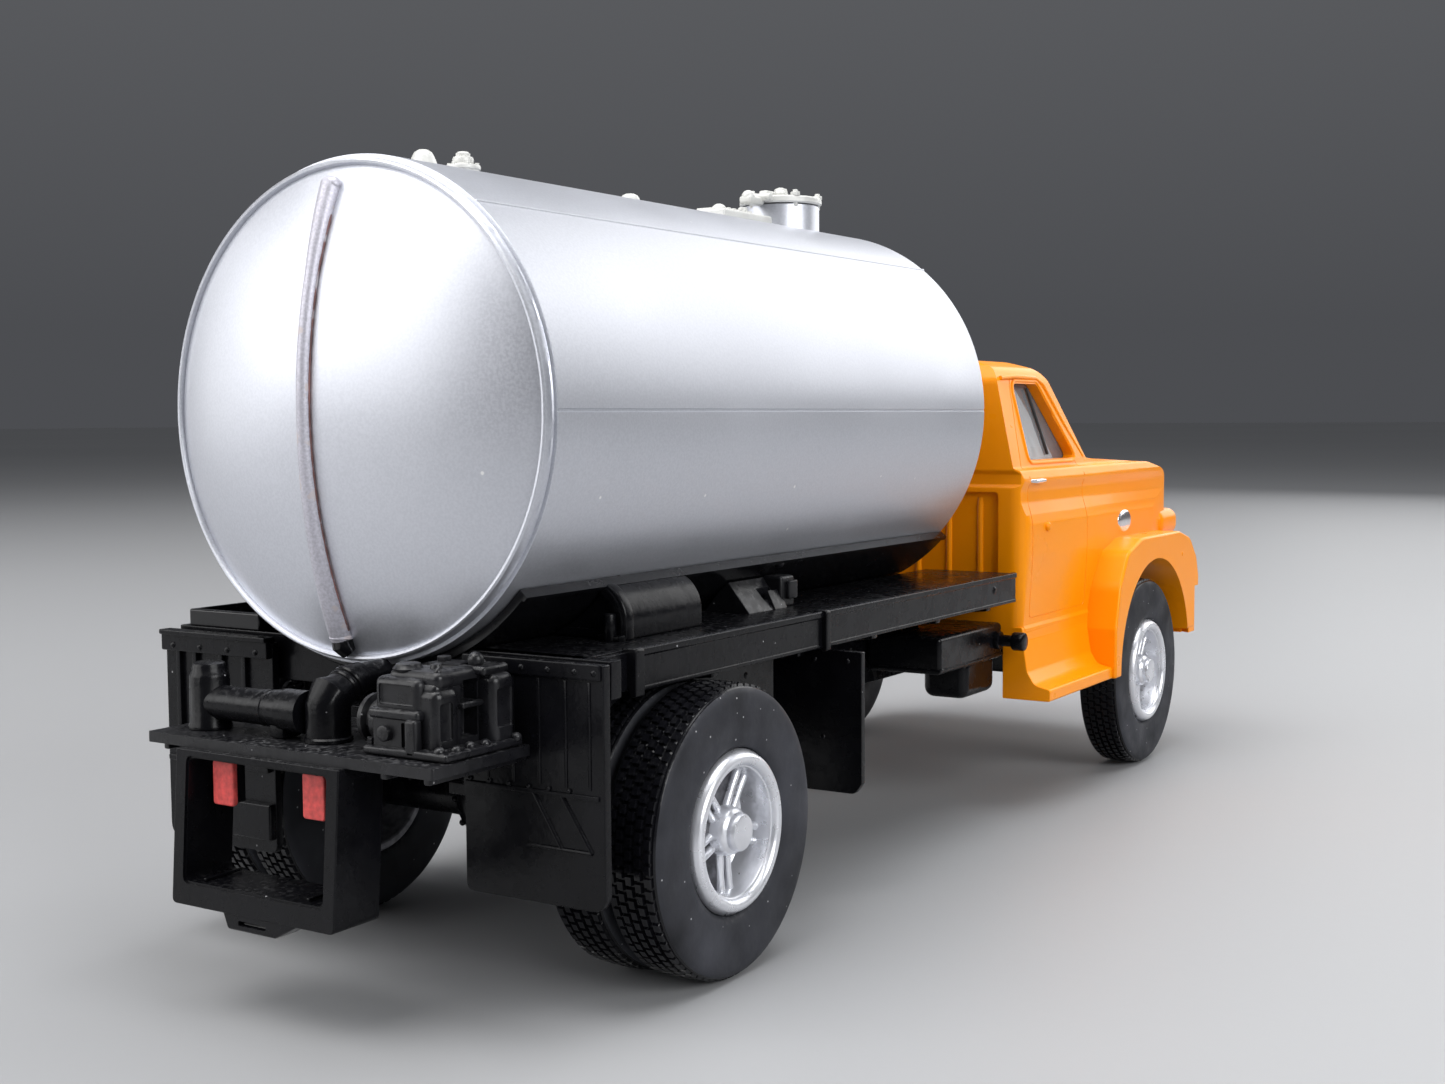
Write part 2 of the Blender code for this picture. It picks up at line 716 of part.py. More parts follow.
def make_manifold():
    """The filler post on the left of the platform and the pipe that leads from it to the elbow."""
    base = PLATFORM_TOP + GAP
    x, y = -49.5, 6.4
    post = rod("filler_post", (x, y, base), (x, y, 18.1), 1.08, sides=20, bevel=0.25)
    pipe = rod("filler_post.pipe", (x, y, 15.95), (x, -0.65, 15.95), 0.9, helper=True)
    rings = [
        rod("filler_post.ring", (x, ring_y, 15.95), (x, ring_y - 0.45, 15.95), 1.05, helper=True)
        for ring_y in (0.3, 1.5)
    ]
    collar = rod("filler_post.collar", (x, y, base), (x, y, base + 0.5), 1.3, helper=True)
    join(post, pipe, *rings, collar)
    paint("black", post)

    x, y = -49.1, -2.0
    elbow = rod("suction_elbow", (x, y, base), (x, y, 16.9), 1.15, sides=20)
    bend = ball("suction_elbow.bend", (x, y, 16.9), 1.17, sides=16, helper=True)
    end = Vector((-46.4, -2.1, 18.2))
    start = Vector((x, y, 16.9))
    arm = rod("suction_elbow.arm", start, end, 0.9, helper=True)
    rings = [
        rod(
            "suction_elbow.ring",
            start.lerp(end, share),
            start.lerp(end, share + 0.12),
            1.02,
            helper=True,
        )
        for share in (0.6, 0.84)
    ]
    join(elbow, bend, arm, *rings)
    paint("black", elbow)

    aim = (end - start).normalized()
    coupling = rod("tank_coupling", end + aim * 2 * GAP, end + aim * 1.9, 0.75, sides=20)
    hug = turned(
        "tank_coupling.head_form",
        [(0, HEAD_DEPTH + 0.15), *[(r, head_depth(r) + 0.15) for r in (8.0, 11.0, 12.6, 13.25, 13.62)], (14.0, 0.3), (14.0, -3), (0, -3)],
        (TANK_REAR, 0, TANK_Z),
        (-1, 0, 0),
        steps=48,
        helper=True,
    )
    cut(coupling, hug)
    paint("black", coupling)


def make_guard():
    """The underrun guard: a rectangular frame under the platform, with a towing lug below it."""
    top = PLATFORM_TOP - PLATFORM_T - GAP
    left, right = 5.87, -5.85
    frame = box("rear_guard", (REAR_END, right, 5.7), (-49.1, left, top), bevel=0.15)
    opening = box("rear_guard.opening", (REAR_END - 1, right + 0.85, 6.9), (-48, left - 0.85, top - 0.55), helper=True)
    lug = plate(
        "rear_guard.lug",
        [(-3.5, 5.8), (-1.7, 4.85), (1.7, 4.85), (2.2, 5.8)],
        "X",
        REAR_END + 0.05,
        -50.6,
        helper=True,
    )
    join(cut(frame, opening), lug)
    paint("black", frame)

    lights = {"tail_light_left": (4.05, 2.5), "tail_light_right": (-2.5, -4.05)}
    for name, (y0, y1) in lights.items():
        light = box(name, (-51.5, y0, 10.9), (-50.6, y1, top - 0.55 - GAP), bevel=0.2)
        paint("red", light)


def make_flaps():
    for label, side, inner, outer, top in (("left", 1, 7.35, 16.3, 18.5), ("right", -1, 6.98, 16.1, 18.9)):
        outline = [(side * inner, 6.7), (side * (inner + 0.6), 6.2), (side * (outer - 0.6), 6.2), (side * outer, 6.8), (side * outer, top), (side * inner, top)]
        if side < 0:
            outline.reverse()
        flap = plate(f"mudflap_{label}", outline, "X", FLAP_REAR, FLAP_REAR + FLAP_T, bevel=0.1)
        paint("black", flap)
    for label, side in SIDES.items():
        outline = [(side * 9.7, DECK_BOTTOM - GAP - 0.3), (side * 9.7, 7.1), (side * 15.6, 7.1), (side * 16.2, 7.8), (side * 16.2, 16.3 - GAP)]
        if side > 0:
            outline.reverse()
        guard = plate(f"splash_guard_{label}", outline, "X", -16.9, -16.2, bevel=0.1)
        paint("black", guard)


# ---------------------------------------------------------------- cab


def cab_outlines():
    """The cab's side (X, Z), front (Y, Z) and plan (X, Y) outlines, each anticlockwise."""
    side = [
        (CAB_REAR, CAB_BOTTOM),
        (NOSE_X, CAB_BOTTOM),
        (NOSE_X, 23.6),
        (50.0, 24.9),
        (48.6, 25.7),
        (45.0, 26.5),
        (COWL_X, 27.3),
        (23.4, 34.3),
        (22.2, 35.1),
        (20.0, ROOF_Z),
        (15.0, ROOF_Z),
        (13.9, 34.9),
        (CAB_REAR, 33.6),
    ]
    right = [(14.45, CAB_BOTTOM), (14.9, 20.0), (14.65, 23.4), (14.15, 25.6), (13.75, BELT_Z), (12.2, 34.0), (11.5, 34.9), (10.0, 35.5)]
    front = right + [(-u, v) for u, v in reversed(right)]
    plan_side = [(CAB_REAR, -14.2), (14.3, -15.2), (31.0, -15.2), (46.0, -14.3), (49.6, -13.5), (NOSE_X + 0.1, -12.2)]
    plan = plan_side + [(u, -v) for u, v in reversed(plan_side)]
    return side, front, plan


def cab_form(name, amount=0.0, floor=CAB_BOTTOM, helper=True):
    """The cab's solid form, pulled in by amount and reaching down to floor."""
    side, front, plan = cab_outlines()
    if amount:
        side, front, plan = (inset(o, amount) for o in (side, front, plan))
    side = [(u, floor if v < CAB_BOTTOM + 2 * amount + 0.1 and v < 16 else v) for u, v in side]
    front = [(u, floor - 0.5 if v < CAB_BOTTOM + 2 * amount + 0.1 and v < 16 else v) for u, v in front]
    form = plate(name, side, "Y", -19, 19, helper=helper)
    across = plate(f"{name}.front", front, "X", 5, 60, helper=True)
    from_above = plate(f"{name}.plan", plan, "Z", 0, 45, helper=True)
    combine(form, "INTERSECT", across, from_above)
    return form


def make_cab():
    cab = cab_form("cab_shell", helper=False)
    add_bevel(cab, 0.45, 2, 32.0)
    cavity = cab_form("cab_shell.cavity", CAB_WALL, floor=CAB_BOTTOM - 3)
    cut(cab, cavity)
    for label, side in SIDES.items():
        fender = [
            (27.4, STEP_BOTTOM),
            (45.0, STEP_BOTTOM),
            (45.0, 11.0),
            (50.3, 11.0),
            (50.3, 15.8),
            (49.6, 18.0),
            (47.6, 20.0),
            (44.5, 21.0),
            (34.0, 21.0),
            (30.6, 19.6),
            (28.4, 16.8),
            (27.4, 13.5),
        ]
        y0, y1 = sorted((side * 12.0, side * FENDER_Y))
        flare = plate(f"cab_shell.fender_{label}", fender, "Y", y0, y1, bevel=1.7, segments=3, helper=True)
        step = [(12.9, STEP_BOTTOM), (STEP_Y, STEP_BOTTOM), (STEP_Y, 9.6), (15.3, 10.2), (14.8, 11.6), (14.5, 14.5), (12.9, 14.5)]
        step = [(side * u, v) for u, v in step]
        board = plate(f"cab_shell.step_{label}", step, "X", CAB_REAR + 0.02, 28.4, helper=True)
        join(cab, flare, board)
    for label, side in SIDES.items():
        y0, y1 = side * 10.5, side * 20
        arch = rod(f"cab_shell.arch_{label}", (ARCH_X, y0, ARCH_Z), (ARCH_X, y1, ARCH_Z), ARCH_R, sides=56, helper=True)
        cut(cab, arch)
    side_window = [(17.1, 27.9), (26.4, 27.9), (20.9, 33.5), (16.4, 33.5)]
    windshield = [(-12.1, 28.3), (12.1, 28.3), (11.0, 33.5), (-11.0, 33.5)]
    rear_window = [(-8.5, 28.2), (8.5, 28.2), (8.0, 33.0), (-8.0, 33.0)]
    tunnel = box("cab_shell.tunnel", (12, -FRAME_Y - 0.2, 5), (15, FRAME_Y + 0.2, FRAME_TOP + 0.1), helper=True)
    grille = [(-11.4, 15.6), (11.4, 15.6), (11.4, 22.4), (-11.4, 22.4)]
    cut(
        cab,
        plate("cab_shell.side_windows", side_window, "Y", -20, 20, bevel=0.5, helper=True),
        plate("cab_shell.windshield", windshield, "X", 20.5, 33, bevel=0.6, helper=True),
        plate("cab_shell.rear_window", rear_window, "X", 11, 15.5, bevel=0.5, helper=True),
        plate("cab_shell.grille_recess", grille, "X", NOSE_X - 2, NOSE_X + 2, helper=True),
        tunnel,
        box("cab_shell.bumper_pocket", (48.9, -20, 9), (55, 20, 14.9), helper=True),
    )
    paint("orange", cab)

    glazing = cab_form("glazing", CAB_WALL + GAP, helper=False)
    core = cab_form("glazing.core", CAB_WALL + GAP + 0.45)
    band = box("glazing.band", (0, -20, 27.3), (60, 20, 34.2), helper=True)
    combine(glazing, "INTERSECT", band)
    cut(glazing, core)
    paint("clear", glazing)
    make_cab_front()
    make_cab_inside()
    make_door_handles()


def make_cab_front():
    grille_x = NOSE_X - 0.1
    grille = box("grille", (grille_x - 0.75, -11.2, 15.75), (grille_x - 0.3, 11.2, 22.25))
    bars = [
        box("grille.bar", (grille_x - 0.5, -8.2, z), (grille_x, 8.2, z + 0.4), helper=True)
        for z in (16.2, 17.4, 18.6, 19.8, 21.0)
    ]
    surround = [
        box("grille.surround", (grille_x - 0.5, side * 8.4, 16.0), (grille_x, side * 8.8, 22.0), helper=True)
        for side in SIDES.values()
    ]
    join(grille, *bars, *surround)
    paint("silver", grille)
    for label, side in SIDES.items():
        x = grille_x - 0.3 + GAP
        lamp = rod(f"headlight_{label}", (x, side * 10.0, 19.2), (x + 0.55, side * 10.0, 19.2), 1.1, sides=20)
        paint("lamp", lamp)

    half = [(49.0, 16.7), (51.2, 16.6), (52.0, 15.6), (FRONT_END, 13.0)]
    back = [(49.0, 16.0), (50.6, 15.9), (51.2, 15.2), (51.25, 13.0)]
    outline = half + [(u, -v) for u, v in reversed(half)] + [(u, -v) for u, v in back] + back[::-1]
    bumper = plate("front_bumper", outline, "Z", 10.4, 14.8, bevel=0.15)
    lugs = [
        box("front_bumper.lug", (FRAME_FRONT + GAP, side * 5.2, 11.4), (51.4, side * 6.6, 12.9), helper=True)
        for side in SIDES.values()
    ]
    join(bumper, *lugs)
    paint("orange", bumper)


def make_cab_inside():
    floor_z = FRAME_TOP + GAP
    tub = box("cab_interior", (14.4, -12.4, floor_z), (26.6, 12.4, floor_z + 0.9))
    pieces = [
        box("cab_interior.seat", (15.2, -11.8, floor_z + 0.5), (20.6, 11.8, 20.4), bevel=0.5, helper=True),
        box("cab_interior.back", (14.7, -11.8, floor_z + 0.5), (16.4, 11.8, 26.4), bevel=0.5, helper=True),
        box("cab_interior.dash", (24.7, -12.2, floor_z + 0.5), (26.6, 12.2, 25.2), bevel=0.4, helper=True),
    ]
    join(tub, *pieces)
    paint("interior", tub)
    centre = Vector((23.2, 6.0, 25.2))
    lean = Vector((-0.55, 0, 0.83)).normalized()
    ring = [(2.3 + 0.24 * math.cos(t), 0.24 * math.sin(t)) for t in (math.tau * k / 6 for k in range(6))]
    wheel = turned("steering_wheel", ring[::-1], centre, lean, steps=24)
    spokes = [
        box("steering_wheel.spoke", centre - Vector((0.16, 2.3, 0.16)), centre + Vector((0.16, 2.3, 0.16)), helper=True),
        rod("steering_wheel.column", centre + lean * 0.2, centre - lean * 1.2, 0.4, sides=12, helper=True),
    ]
    join(wheel, *spokes)
    paint("interior", wheel)


def make_door_handles():
    for label, side in SIDES.items():
        z = 25.9
        handle = box(
            f"door_handle_{label}",
            (16.0, side * 14.22, z - 0.25),
            (18.2, side * 14.62, z + 0.3),
            bevel=0.12,
        )
        paint("silver", handle)


def make_fuel_tanks():
    for label, side in SIDES.items():
        tank = box(f"fuel_tank_{label}", (2.6, side * 7.0, 8.6), (12.9, side * 12.0, 12.4), bevel=0.7, segments=3)
        upper = box(f"fuel_tank_{label}.upper", (1.6, side * 7.0, 11.9), (13.0, side * 12.4, 15.1), bevel=0.3, helper=True)
        neck = rod(f"fuel_tank_{label}.neck", (11.9, side * 11.5, 13.6), (11.9, side * 14.4, 13.6), 0.45, helper=True)
        cap = rod(f"fuel_tank_{label}.cap", (11.9, side * 14.2, 13.6), (11.9, side * 15.1, 13.6), 0.7, bevel=0.12, helper=True)
        join(tank, upper, neck, cap)
        paint("black", tank)


# ---------------------------------------------------------------- assembly


make_wheelsets()
make_chassis()
make_deck()
make_saddle()
make_deck_box()
make_wedge()
make_hose_tray()
make_tank()
make_platform()
make_pump()
make_manifold()
make_guard()
make_flaps()
make_cab()
make_fuel_tanks()
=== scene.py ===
import math

import bmesh
import bpy
from mathutils import Matrix, Vector


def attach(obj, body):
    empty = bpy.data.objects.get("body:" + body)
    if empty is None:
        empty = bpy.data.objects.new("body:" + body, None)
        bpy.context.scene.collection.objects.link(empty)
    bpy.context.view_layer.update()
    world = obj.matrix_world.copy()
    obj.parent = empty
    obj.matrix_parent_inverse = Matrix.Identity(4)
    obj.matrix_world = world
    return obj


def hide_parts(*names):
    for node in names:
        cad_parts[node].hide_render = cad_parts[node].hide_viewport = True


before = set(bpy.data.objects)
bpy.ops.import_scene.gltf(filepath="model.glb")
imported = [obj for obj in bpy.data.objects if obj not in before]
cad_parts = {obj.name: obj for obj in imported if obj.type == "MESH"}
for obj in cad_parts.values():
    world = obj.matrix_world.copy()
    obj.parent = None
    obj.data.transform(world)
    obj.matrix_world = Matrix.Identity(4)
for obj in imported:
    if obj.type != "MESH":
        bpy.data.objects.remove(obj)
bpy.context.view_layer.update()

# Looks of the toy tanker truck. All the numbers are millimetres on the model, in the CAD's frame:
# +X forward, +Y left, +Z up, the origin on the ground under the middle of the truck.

MM = 0.001
SIDES = {"left": 1, "right": -1}
UP, AHEAD, BACK = (0, 0, 1), (1, 0, 0), (-1, 0, 0)

REAR_AXLE_X, FRONT_AXLE_X, AXLE_Z, TYRE_R, TYRE_W = -33.17, 37.4, 8.25, 8.25, 3.55
REAR_FACE_Y, FRONT_FACE_Y, DUAL_W = 17.17, 16.7, 7.45
TANK_R, TANK_Z, TANK_REAR, TANK_FRONT = 13.73, 31.5, -44.67, 7.83
TANK_TOP = TANK_Z + TANK_R
BEAD_W, HEAD_DEPTH, HEAD_CROWN_R, LIP_R = 1.6, 3.2, 31.2, 13.1
SEAT_Z = TANK_TOP - 0.02
SADDLE_IN_R, SADDLE_OUT_R = 13.79, 14.25
DECK_TOP, DECK_BOTTOM, DECK_REAR, DECK_FRONT = 18.9, 16.65, -43.3, 12.1
DECK_SEAT = DECK_TOP - 0.02
FRAME_TOP, FRAME_Y, FRAME_REAR, FRAME_FRONT = 15.2, 6.75, -43.4, 49.0
PLATFORM_TOP, PLATFORM_REAR, PLATFORM_FRONT = 14.62, -52.09, -44.45
PLATFORM_LEFT, PLATFORM_RIGHT, PLATFORM_UNDER = 8.7, -11.8, PLATFORM_TOP - 0.7
PUMP_SEAT = PLATFORM_TOP - 0.1
TUBE_Y, FLAP_REAR = 0.4, -44.37
CAB_REAR, NOSE_X = 13.33, 50.6
ARCH_X, ARCH_Z, ARCH_R, FENDER_Y = 38.0, 9.0, 9.3, 17.25


# ---------------------------------------------------------------- materials


DUST_GREY, SPECK_GREY = (0.33, 0.33, 0.34), (0.42, 0.42, 0.43)


class Nodes:
    """A material's node tree, with short ways to add what the finishes below need."""

    def __init__(self, name):
        self.material = bpy.data.materials.new(name)
        self.material.use_nodes = True
        self.tree = self.material.node_tree
        self.shader = self.tree.nodes["Principled BSDF"]
        self.place = self.add("ShaderNodeTexCoord").outputs["Object"]

    def add(self, kind, **settings):
        node = self.tree.nodes.new(kind)
        for key, value in settings.items():
            setattr(node, key, value)
        return node

    def put(self, value, socket):
        """Sets a socket to a number or a colour, or links it to another node's output."""
        if isinstance(value, (int, float)):
            socket.default_value = value
        elif isinstance(value, tuple):
            socket.default_value = (*value, 1.0)
        else:
            self.tree.links.new(value, socket)

    def shade(self, **values):
        """Feeds the shader; Base_Color stands for the socket Base Color."""
        for name, value in values.items():
            self.put(value, self.shader.inputs[name.replace("_", " ")])

    def noise(self, scale, detail):
        node = self.add("ShaderNodeTexNoise")
        self.put(scale, node.inputs["Scale"])
        self.put(detail, node.inputs["Detail"])
        self.put(self.place, node.inputs["Vector"])
        return node.outputs["Fac"]

    def ramp(self, value, low, high, start=0.0, end=1.0):
        node = self.add("ShaderNodeMapRange")
        sockets = ("From Min", "From Max", "To Min", "To Max", "Value")
        for name, given in zip(sockets, (low, high, start, end, value)):
            self.put(given, node.inputs[name])
        return node.outputs[0]

    def clouds(self, scale, detail, start=0.0, end=1.0):
        """Soft patches that run from start to end."""
        return self.ramp(self.noise(scale, detail), 0.3, 0.7, start, end)

    def flake(self):
        return self.ramp(self.noise(7000, 1.0), 0.35, 0.65)

    def math(self, operation, *values):
        clamp = operation in ("MULTIPLY", "ADD")
        node = self.add("ShaderNodeMath", operation=operation, use_clamp=clamp)
        for socket, value in zip(node.inputs, values):
            self.put(value, socket)
        return node.outputs[0]

    def mix(self, share, first, second):
        node = self.add("ShaderNodeMix", data_type="RGBA")
        sockets = [s for s in node.inputs if s.type == "RGBA"]
        for socket, value in zip(sockets, (first, second)):
            self.put(value, socket)
        self.put(share, node.inputs["Factor"])
        return next(s for s in node.outputs if s.type == "RGBA")

    def facing_up(self):
        split = self.add("ShaderNodeSeparateXYZ")
        self.put(self.add("ShaderNodeNewGeometry").outputs["Normal"], split.inputs[0])
        return split.outputs["Z"]

    def dots(self, scale, edge, channel, low, high):
        """Round dots in some cells of a pattern: those whose random colour passes low."""
        cells = self.add("ShaderNodeTexVoronoi")
        self.put(scale, cells.inputs["Scale"])
        self.put(self.place, cells.inputs["Vector"])
        lot = self.add("ShaderNodeSeparateColor")
        self.put(cells.outputs["Color"], lot.inputs[0])
        dot = self.ramp(cells.outputs["Distance"], 0.05, edge, 1.0, 0.0)
        return self.math("MULTIPLY", dot, self.ramp(lot.outputs[channel], low, high))

    def bump(self, height, distance_mm, strength=1.0):
        node = self.add("ShaderNodeBump")
        self.put(distance_mm * MM, node.inputs["Distance"])
        self.put(strength, node.inputs["Strength"])
        self.put(height, node.inputs["Height"])
        self.shade(Normal=node.outputs[0])


def tinted(colour, factor):
    return tuple(min(1.0, c * factor) for c in colour)


def finish(
    name, colour, rough, metallic=0.0, coat=0.0, mottle=(250, 0.08), grain=(3500, 0.01),
    specks=0.0, dust=0.0, rough_spread=0.06, worn=None, level=0.5,
):
    """A moulded or painted surface: colour that drifts a little, fine grain in its bump, pale specks, and
    dust that settles on what faces up. worn is (colour, share) of a second tone in small patches."""
    n = Nodes(name)
    patch, drift = mottle
    tone = n.mix(n.clouds(patch, 3.0), tinted(colour, 1 - drift), tinted(colour, 1 + drift))
    shine = n.clouds(patch * 3.1, 4.0, max(0.02, rough - rough_spread), rough + rough_spread)
    if worn:
        worn_colour, share = worn
        tone = n.mix(n.ramp(n.noise(620, 6.0), 0.72 - share, 0.78 - share), tone, worn_colour)
    if dust:
        settled = n.ramp(n.facing_up(), 0.2, 0.95)
        fine_dust = n.ramp(n.noise(3400, 3.0), 0.5, 0.72)
        drifts = n.ramp(n.noise(240, 3.0), 0.4, 0.65, 0.25, 1.0)
        powder = n.math("MULTIPLY", n.math("MULTIPLY", fine_dust, drifts), dust)
        powder = n.math("MULTIPLY", settled, powder)
        tone = n.mix(powder, tone, DUST_GREY)
        shine = n.math("ADD", shine, n.math("MULTIPLY", powder, 0.8))
    if specks:
        tone = n.mix(n.dots(1500, 0.10, 0, 1 - specks, 1 - specks * 0.9), tone, SPECK_GREY)
    n.shade(Base_Color=tone, Roughness=shine, Metallic=metallic, Specular_IOR_Level=level)
    n.shade(Coat_Weight=coat, Coat_Roughness=0.08)
    n.bump(n.noise(grain[0], 2.0), grain[1])
    return n.material


def tank_paint():
    """Satin silver paint: fine metal flake, cloudy shine, and a few pale dust specks."""
    n = Nodes("tank_silver")
    flake, cloud = n.flake(), n.clouds(70, 4.0)
    tone = n.mix(flake, (0.545, 0.56, 0.61), (0.60, 0.615, 0.665))
    tone = n.mix(n.math("MULTIPLY", cloud, 0.25), tone, (0.68, 0.69, 0.74))
    tone = n.mix(n.dots(700, 0.09, 1, 0.93, 0.94), tone, (0.9, 0.9, 0.9))
    shine = n.math("ADD", n.ramp(cloud, 0, 1, 0.33, 0.42), n.ramp(flake, 0, 1, 0.0, 0.05))
    n.shade(Base_Color=tone, Roughness=shine, Metallic=0.82, Coat_Weight=0.12, Coat_Roughness=0.25)
    n.bump(n.noise(4200, 2.0), 0.003)
    return n.material


def tube_paint():
    """The gauge's thicker silver, with a few chips down to a pale undercoat."""
    n = Nodes("tube_silver")
    chips = n.ramp(n.noise(750, 5.0), 0.60, 0.63)
    tone = n.mix(chips, n.mix(n.flake(), (0.43, 0.42, 0.47), (0.53, 0.52, 0.58)), (0.50, 0.45, 0.46))
    n.shade(Base_Color=tone, Roughness=n.ramp(chips, 0, 1, 0.46, 0.56))
    n.shade(Metallic=n.ramp(chips, 0, 1, 0.45, 0.1))
    n.bump(n.noise(2600, 3.0), 0.012)
    return n.material


def clear_plastic():
    n = Nodes("clear_plastic")
    tone = n.mix(n.clouds(200, 3.0), (0.30, 0.32, 0.34), (0.38, 0.40, 0.42))
    n.shade(Base_Color=tone, Roughness=n.clouds(500, 2.0, 0.04, 0.1), Alpha=0.45, Coat_Weight=0.5)
    n.bump(n.noise(300, 1.0), 0.004)
    return n.material


def floor_paper():
    n = Nodes("pale_floor")
    tone = n.mix(n.clouds(2.5, 3.0), (0.30, 0.303, 0.311), (0.32, 0.323, 0.331))
    n.shade(Base_Color=tone, Roughness=0.55)
    n.bump(n.noise(900, 3.0), 0.02, 0.4)
    return n.material


FINISH = {
    "orange": finish(
        "orange_paint", (1.0, 0.305, 0.001), 0.32, coat=0.1, mottle=(60, 0.04), grain=(1400, 0.004),
        specks=0.006, dust=0.03, level=0.16,
    ),
    "silver": tank_paint(),
    "tube": tube_paint(),
    # painted shadow of the sight tube on the rear head: a thin reddish-brown line with grey breaks
    "painted_tube_shadow": finish(
        "painted_tube_shadow_line", (0.17, 0.085, 0.08), 0.6, mottle=(300, 0.6), grain=(1800, 0.05),
        worn=((0.36, 0.33, 0.35), 0.15), level=0.3,
    ),
    "white": finish(
        "fitting_white", (0.60, 0.60, 0.575), 0.4, metallic=0.1, mottle=(500, 0.1), grain=(3000, 0.015),
        worn=((0.55, 0.54, 0.50), 0.06),
    ),
    "black": finish(
        "black_plastic", (0.003, 0.003, 0.004), 0.26, mottle=(300, 0.3), grain=(2600, 0.012),
        specks=0.12, dust=0.12, rough_spread=0.07, level=0.18,
    ),
    "gloss": finish(
        "black_gloss", (0.0045, 0.0045, 0.0055), 0.22, coat=0.08, mottle=(200, 0.2), grain=(1800, 0.006),
        specks=0.08, dust=0.12, level=0.35,
    ),
    "cast": finish(
        "black_cast", (0.0065, 0.0065, 0.008), 0.33, mottle=(500, 0.35), grain=(1500, 0.035),
        specks=0.12, dust=0.22, rough_spread=0.1, level=0.36,
    ),
    "rubber": finish(
        "tyre_rubber", (0.030, 0.031, 0.037), 0.6, mottle=(170, 0.6), grain=(2400, 0.016),
        specks=0.4, dust=0.4, rough_spread=0.14, level=0.2,
    ),
    # the tread's glossier rubber; its near-black tone, darker than the sidewall, is painted shade
    "tread": finish(
        "tyre_tread_painted_shade", (0.0045, 0.0045, 0.006), 0.2, mottle=(400, 0.3), grain=(2800, 0.012),
        specks=0.01, dust=0.05, rough_spread=0.08, level=0.28,
    ),
    "wheel": finish(
        "wheel_silver", (0.76, 0.77, 0.81), 0.3, metallic=0.68, mottle=(350, 0.05), specks=0.01,
        grain=(3200, 0.01),
    ),
    # rough grey for the hub's deep recesses: the grain is real texture, the darker tone is painted shade
    "wheel_rough_painted_shade": finish(
        "wheel_rough_painted_shade", (0.27, 0.27, 0.29), 0.5, metallic=0.5, mottle=(1400, 0.5), grain=(2600, 0.05),
    ),
    "chrome": finish(
        "bright_trim", (0.80, 0.80, 0.82), 0.16, metallic=0.9, mottle=(400, 0.05), grain=(2600, 0.006),
    ),
    "steel": finish(
        "axle_steel", (0.52, 0.52, 0.54), 0.3, metallic=1.0, mottle=(500, 0.1), grain=(2600, 0.01),
    ),
    "red": finish(
        "tail_red", (0.56, 0.06, 0.055), 0.5, mottle=(2600, 0.28), grain=(2200, 0.03), specks=0.04,
    ),
    "lamp": finish(
        "lamp_white", (0.80, 0.80, 0.76), 0.12, metallic=0.2, coat=0.8, mottle=(900, 0.1),
        grain=(1600, 0.02),
    ),
    "amber": finish(
        "lamp_amber", (0.80, 0.28, 0.02), 0.2, coat=0.5, mottle=(900, 0.1), grain=(1600, 0.02),
    ),
    "interior": finish(
        "interior_grey", (0.03, 0.031, 0.033), 0.55, mottle=(400, 0.2), grain=(1900, 0.03), dust=0.1,
    ),
    "clear": clear_plastic(),
}
SLOTS = {
    "orange": "orange_paint", "silver": "tank_silver", "tube": "tank_silver", "painted_tube_shadow": "tank_silver",
    "white": "fitting_white", "black": "black_plastic", "cast": "black_plastic", "gloss": "black_gloss",
    "rubber": "tyre", "wheel": "wheel_silver", "chrome": "bright_trim", "steel": "steel",
    "red": "tail_red", "lamp": "lamp", "amber": "lamp", "interior": "interior", "clear": "clear",
}


# ---------------------------------------------------------------- forms, as bmeshes in millimetres


def outward(bm):
    bmesh.ops.recalc_face_normals(bm, faces=bm.faces)
    return bm


def soften(bm, width, segments=2, angle=30.0):
    """Rounds every edge sharper than the angle."""
    if width > 0:
        limit = math.radians(angle)
        edges = [e for e in bm.edges if e.is_manifold and e.calc_face_angle(0.0) > limit]
        settings = {"offset": width, "segments": segments, "profile": 0.5, "clamp_overlap": True}
        bmesh.ops.bevel(bm, geom=edges, affect="EDGES", **settings)
    return bm


PUT = {
    "X": lambda u, v, w: (w, u, v),
    "Y": lambda u, v, w: (u, w, v),
    "Z": lambda u, v, w: (u, v, w),
}


def prism(outline, axis, low, high, bevel=0.0, segments=2, angle=30.0):
    """An outline in the two axes left over (YZ, XZ or XY), run from low to high along axis."""
    bm = bmesh.new()
    put = PUT[axis]
    a = [bm.verts.new(put(u, v, low)) for u, v in outline]
    b = [bm.verts.new(put(u, v, high)) for u, v in outline]
    bm.faces.new(a)
    bm.faces.new(b[::-1])
    for i in range(len(a)):
        bm.faces.new((a[i - 1], a[i], b[i], b[i - 1]))
    return soften(outward(bm), bevel, segments, angle)


def block(low, high, bevel=0.1, segments=2):
    (x0, x1), (y0, y1), (z0, z1) = (sorted(pair) for pair in zip(low, high))
    return prism([(x0, y0), (x1, y0), (x1, y1), (x0, y1)], "Z", z0, z1, bevel, segments)


def turns(count):
    return [math.tau * k / count for k in range(count)]


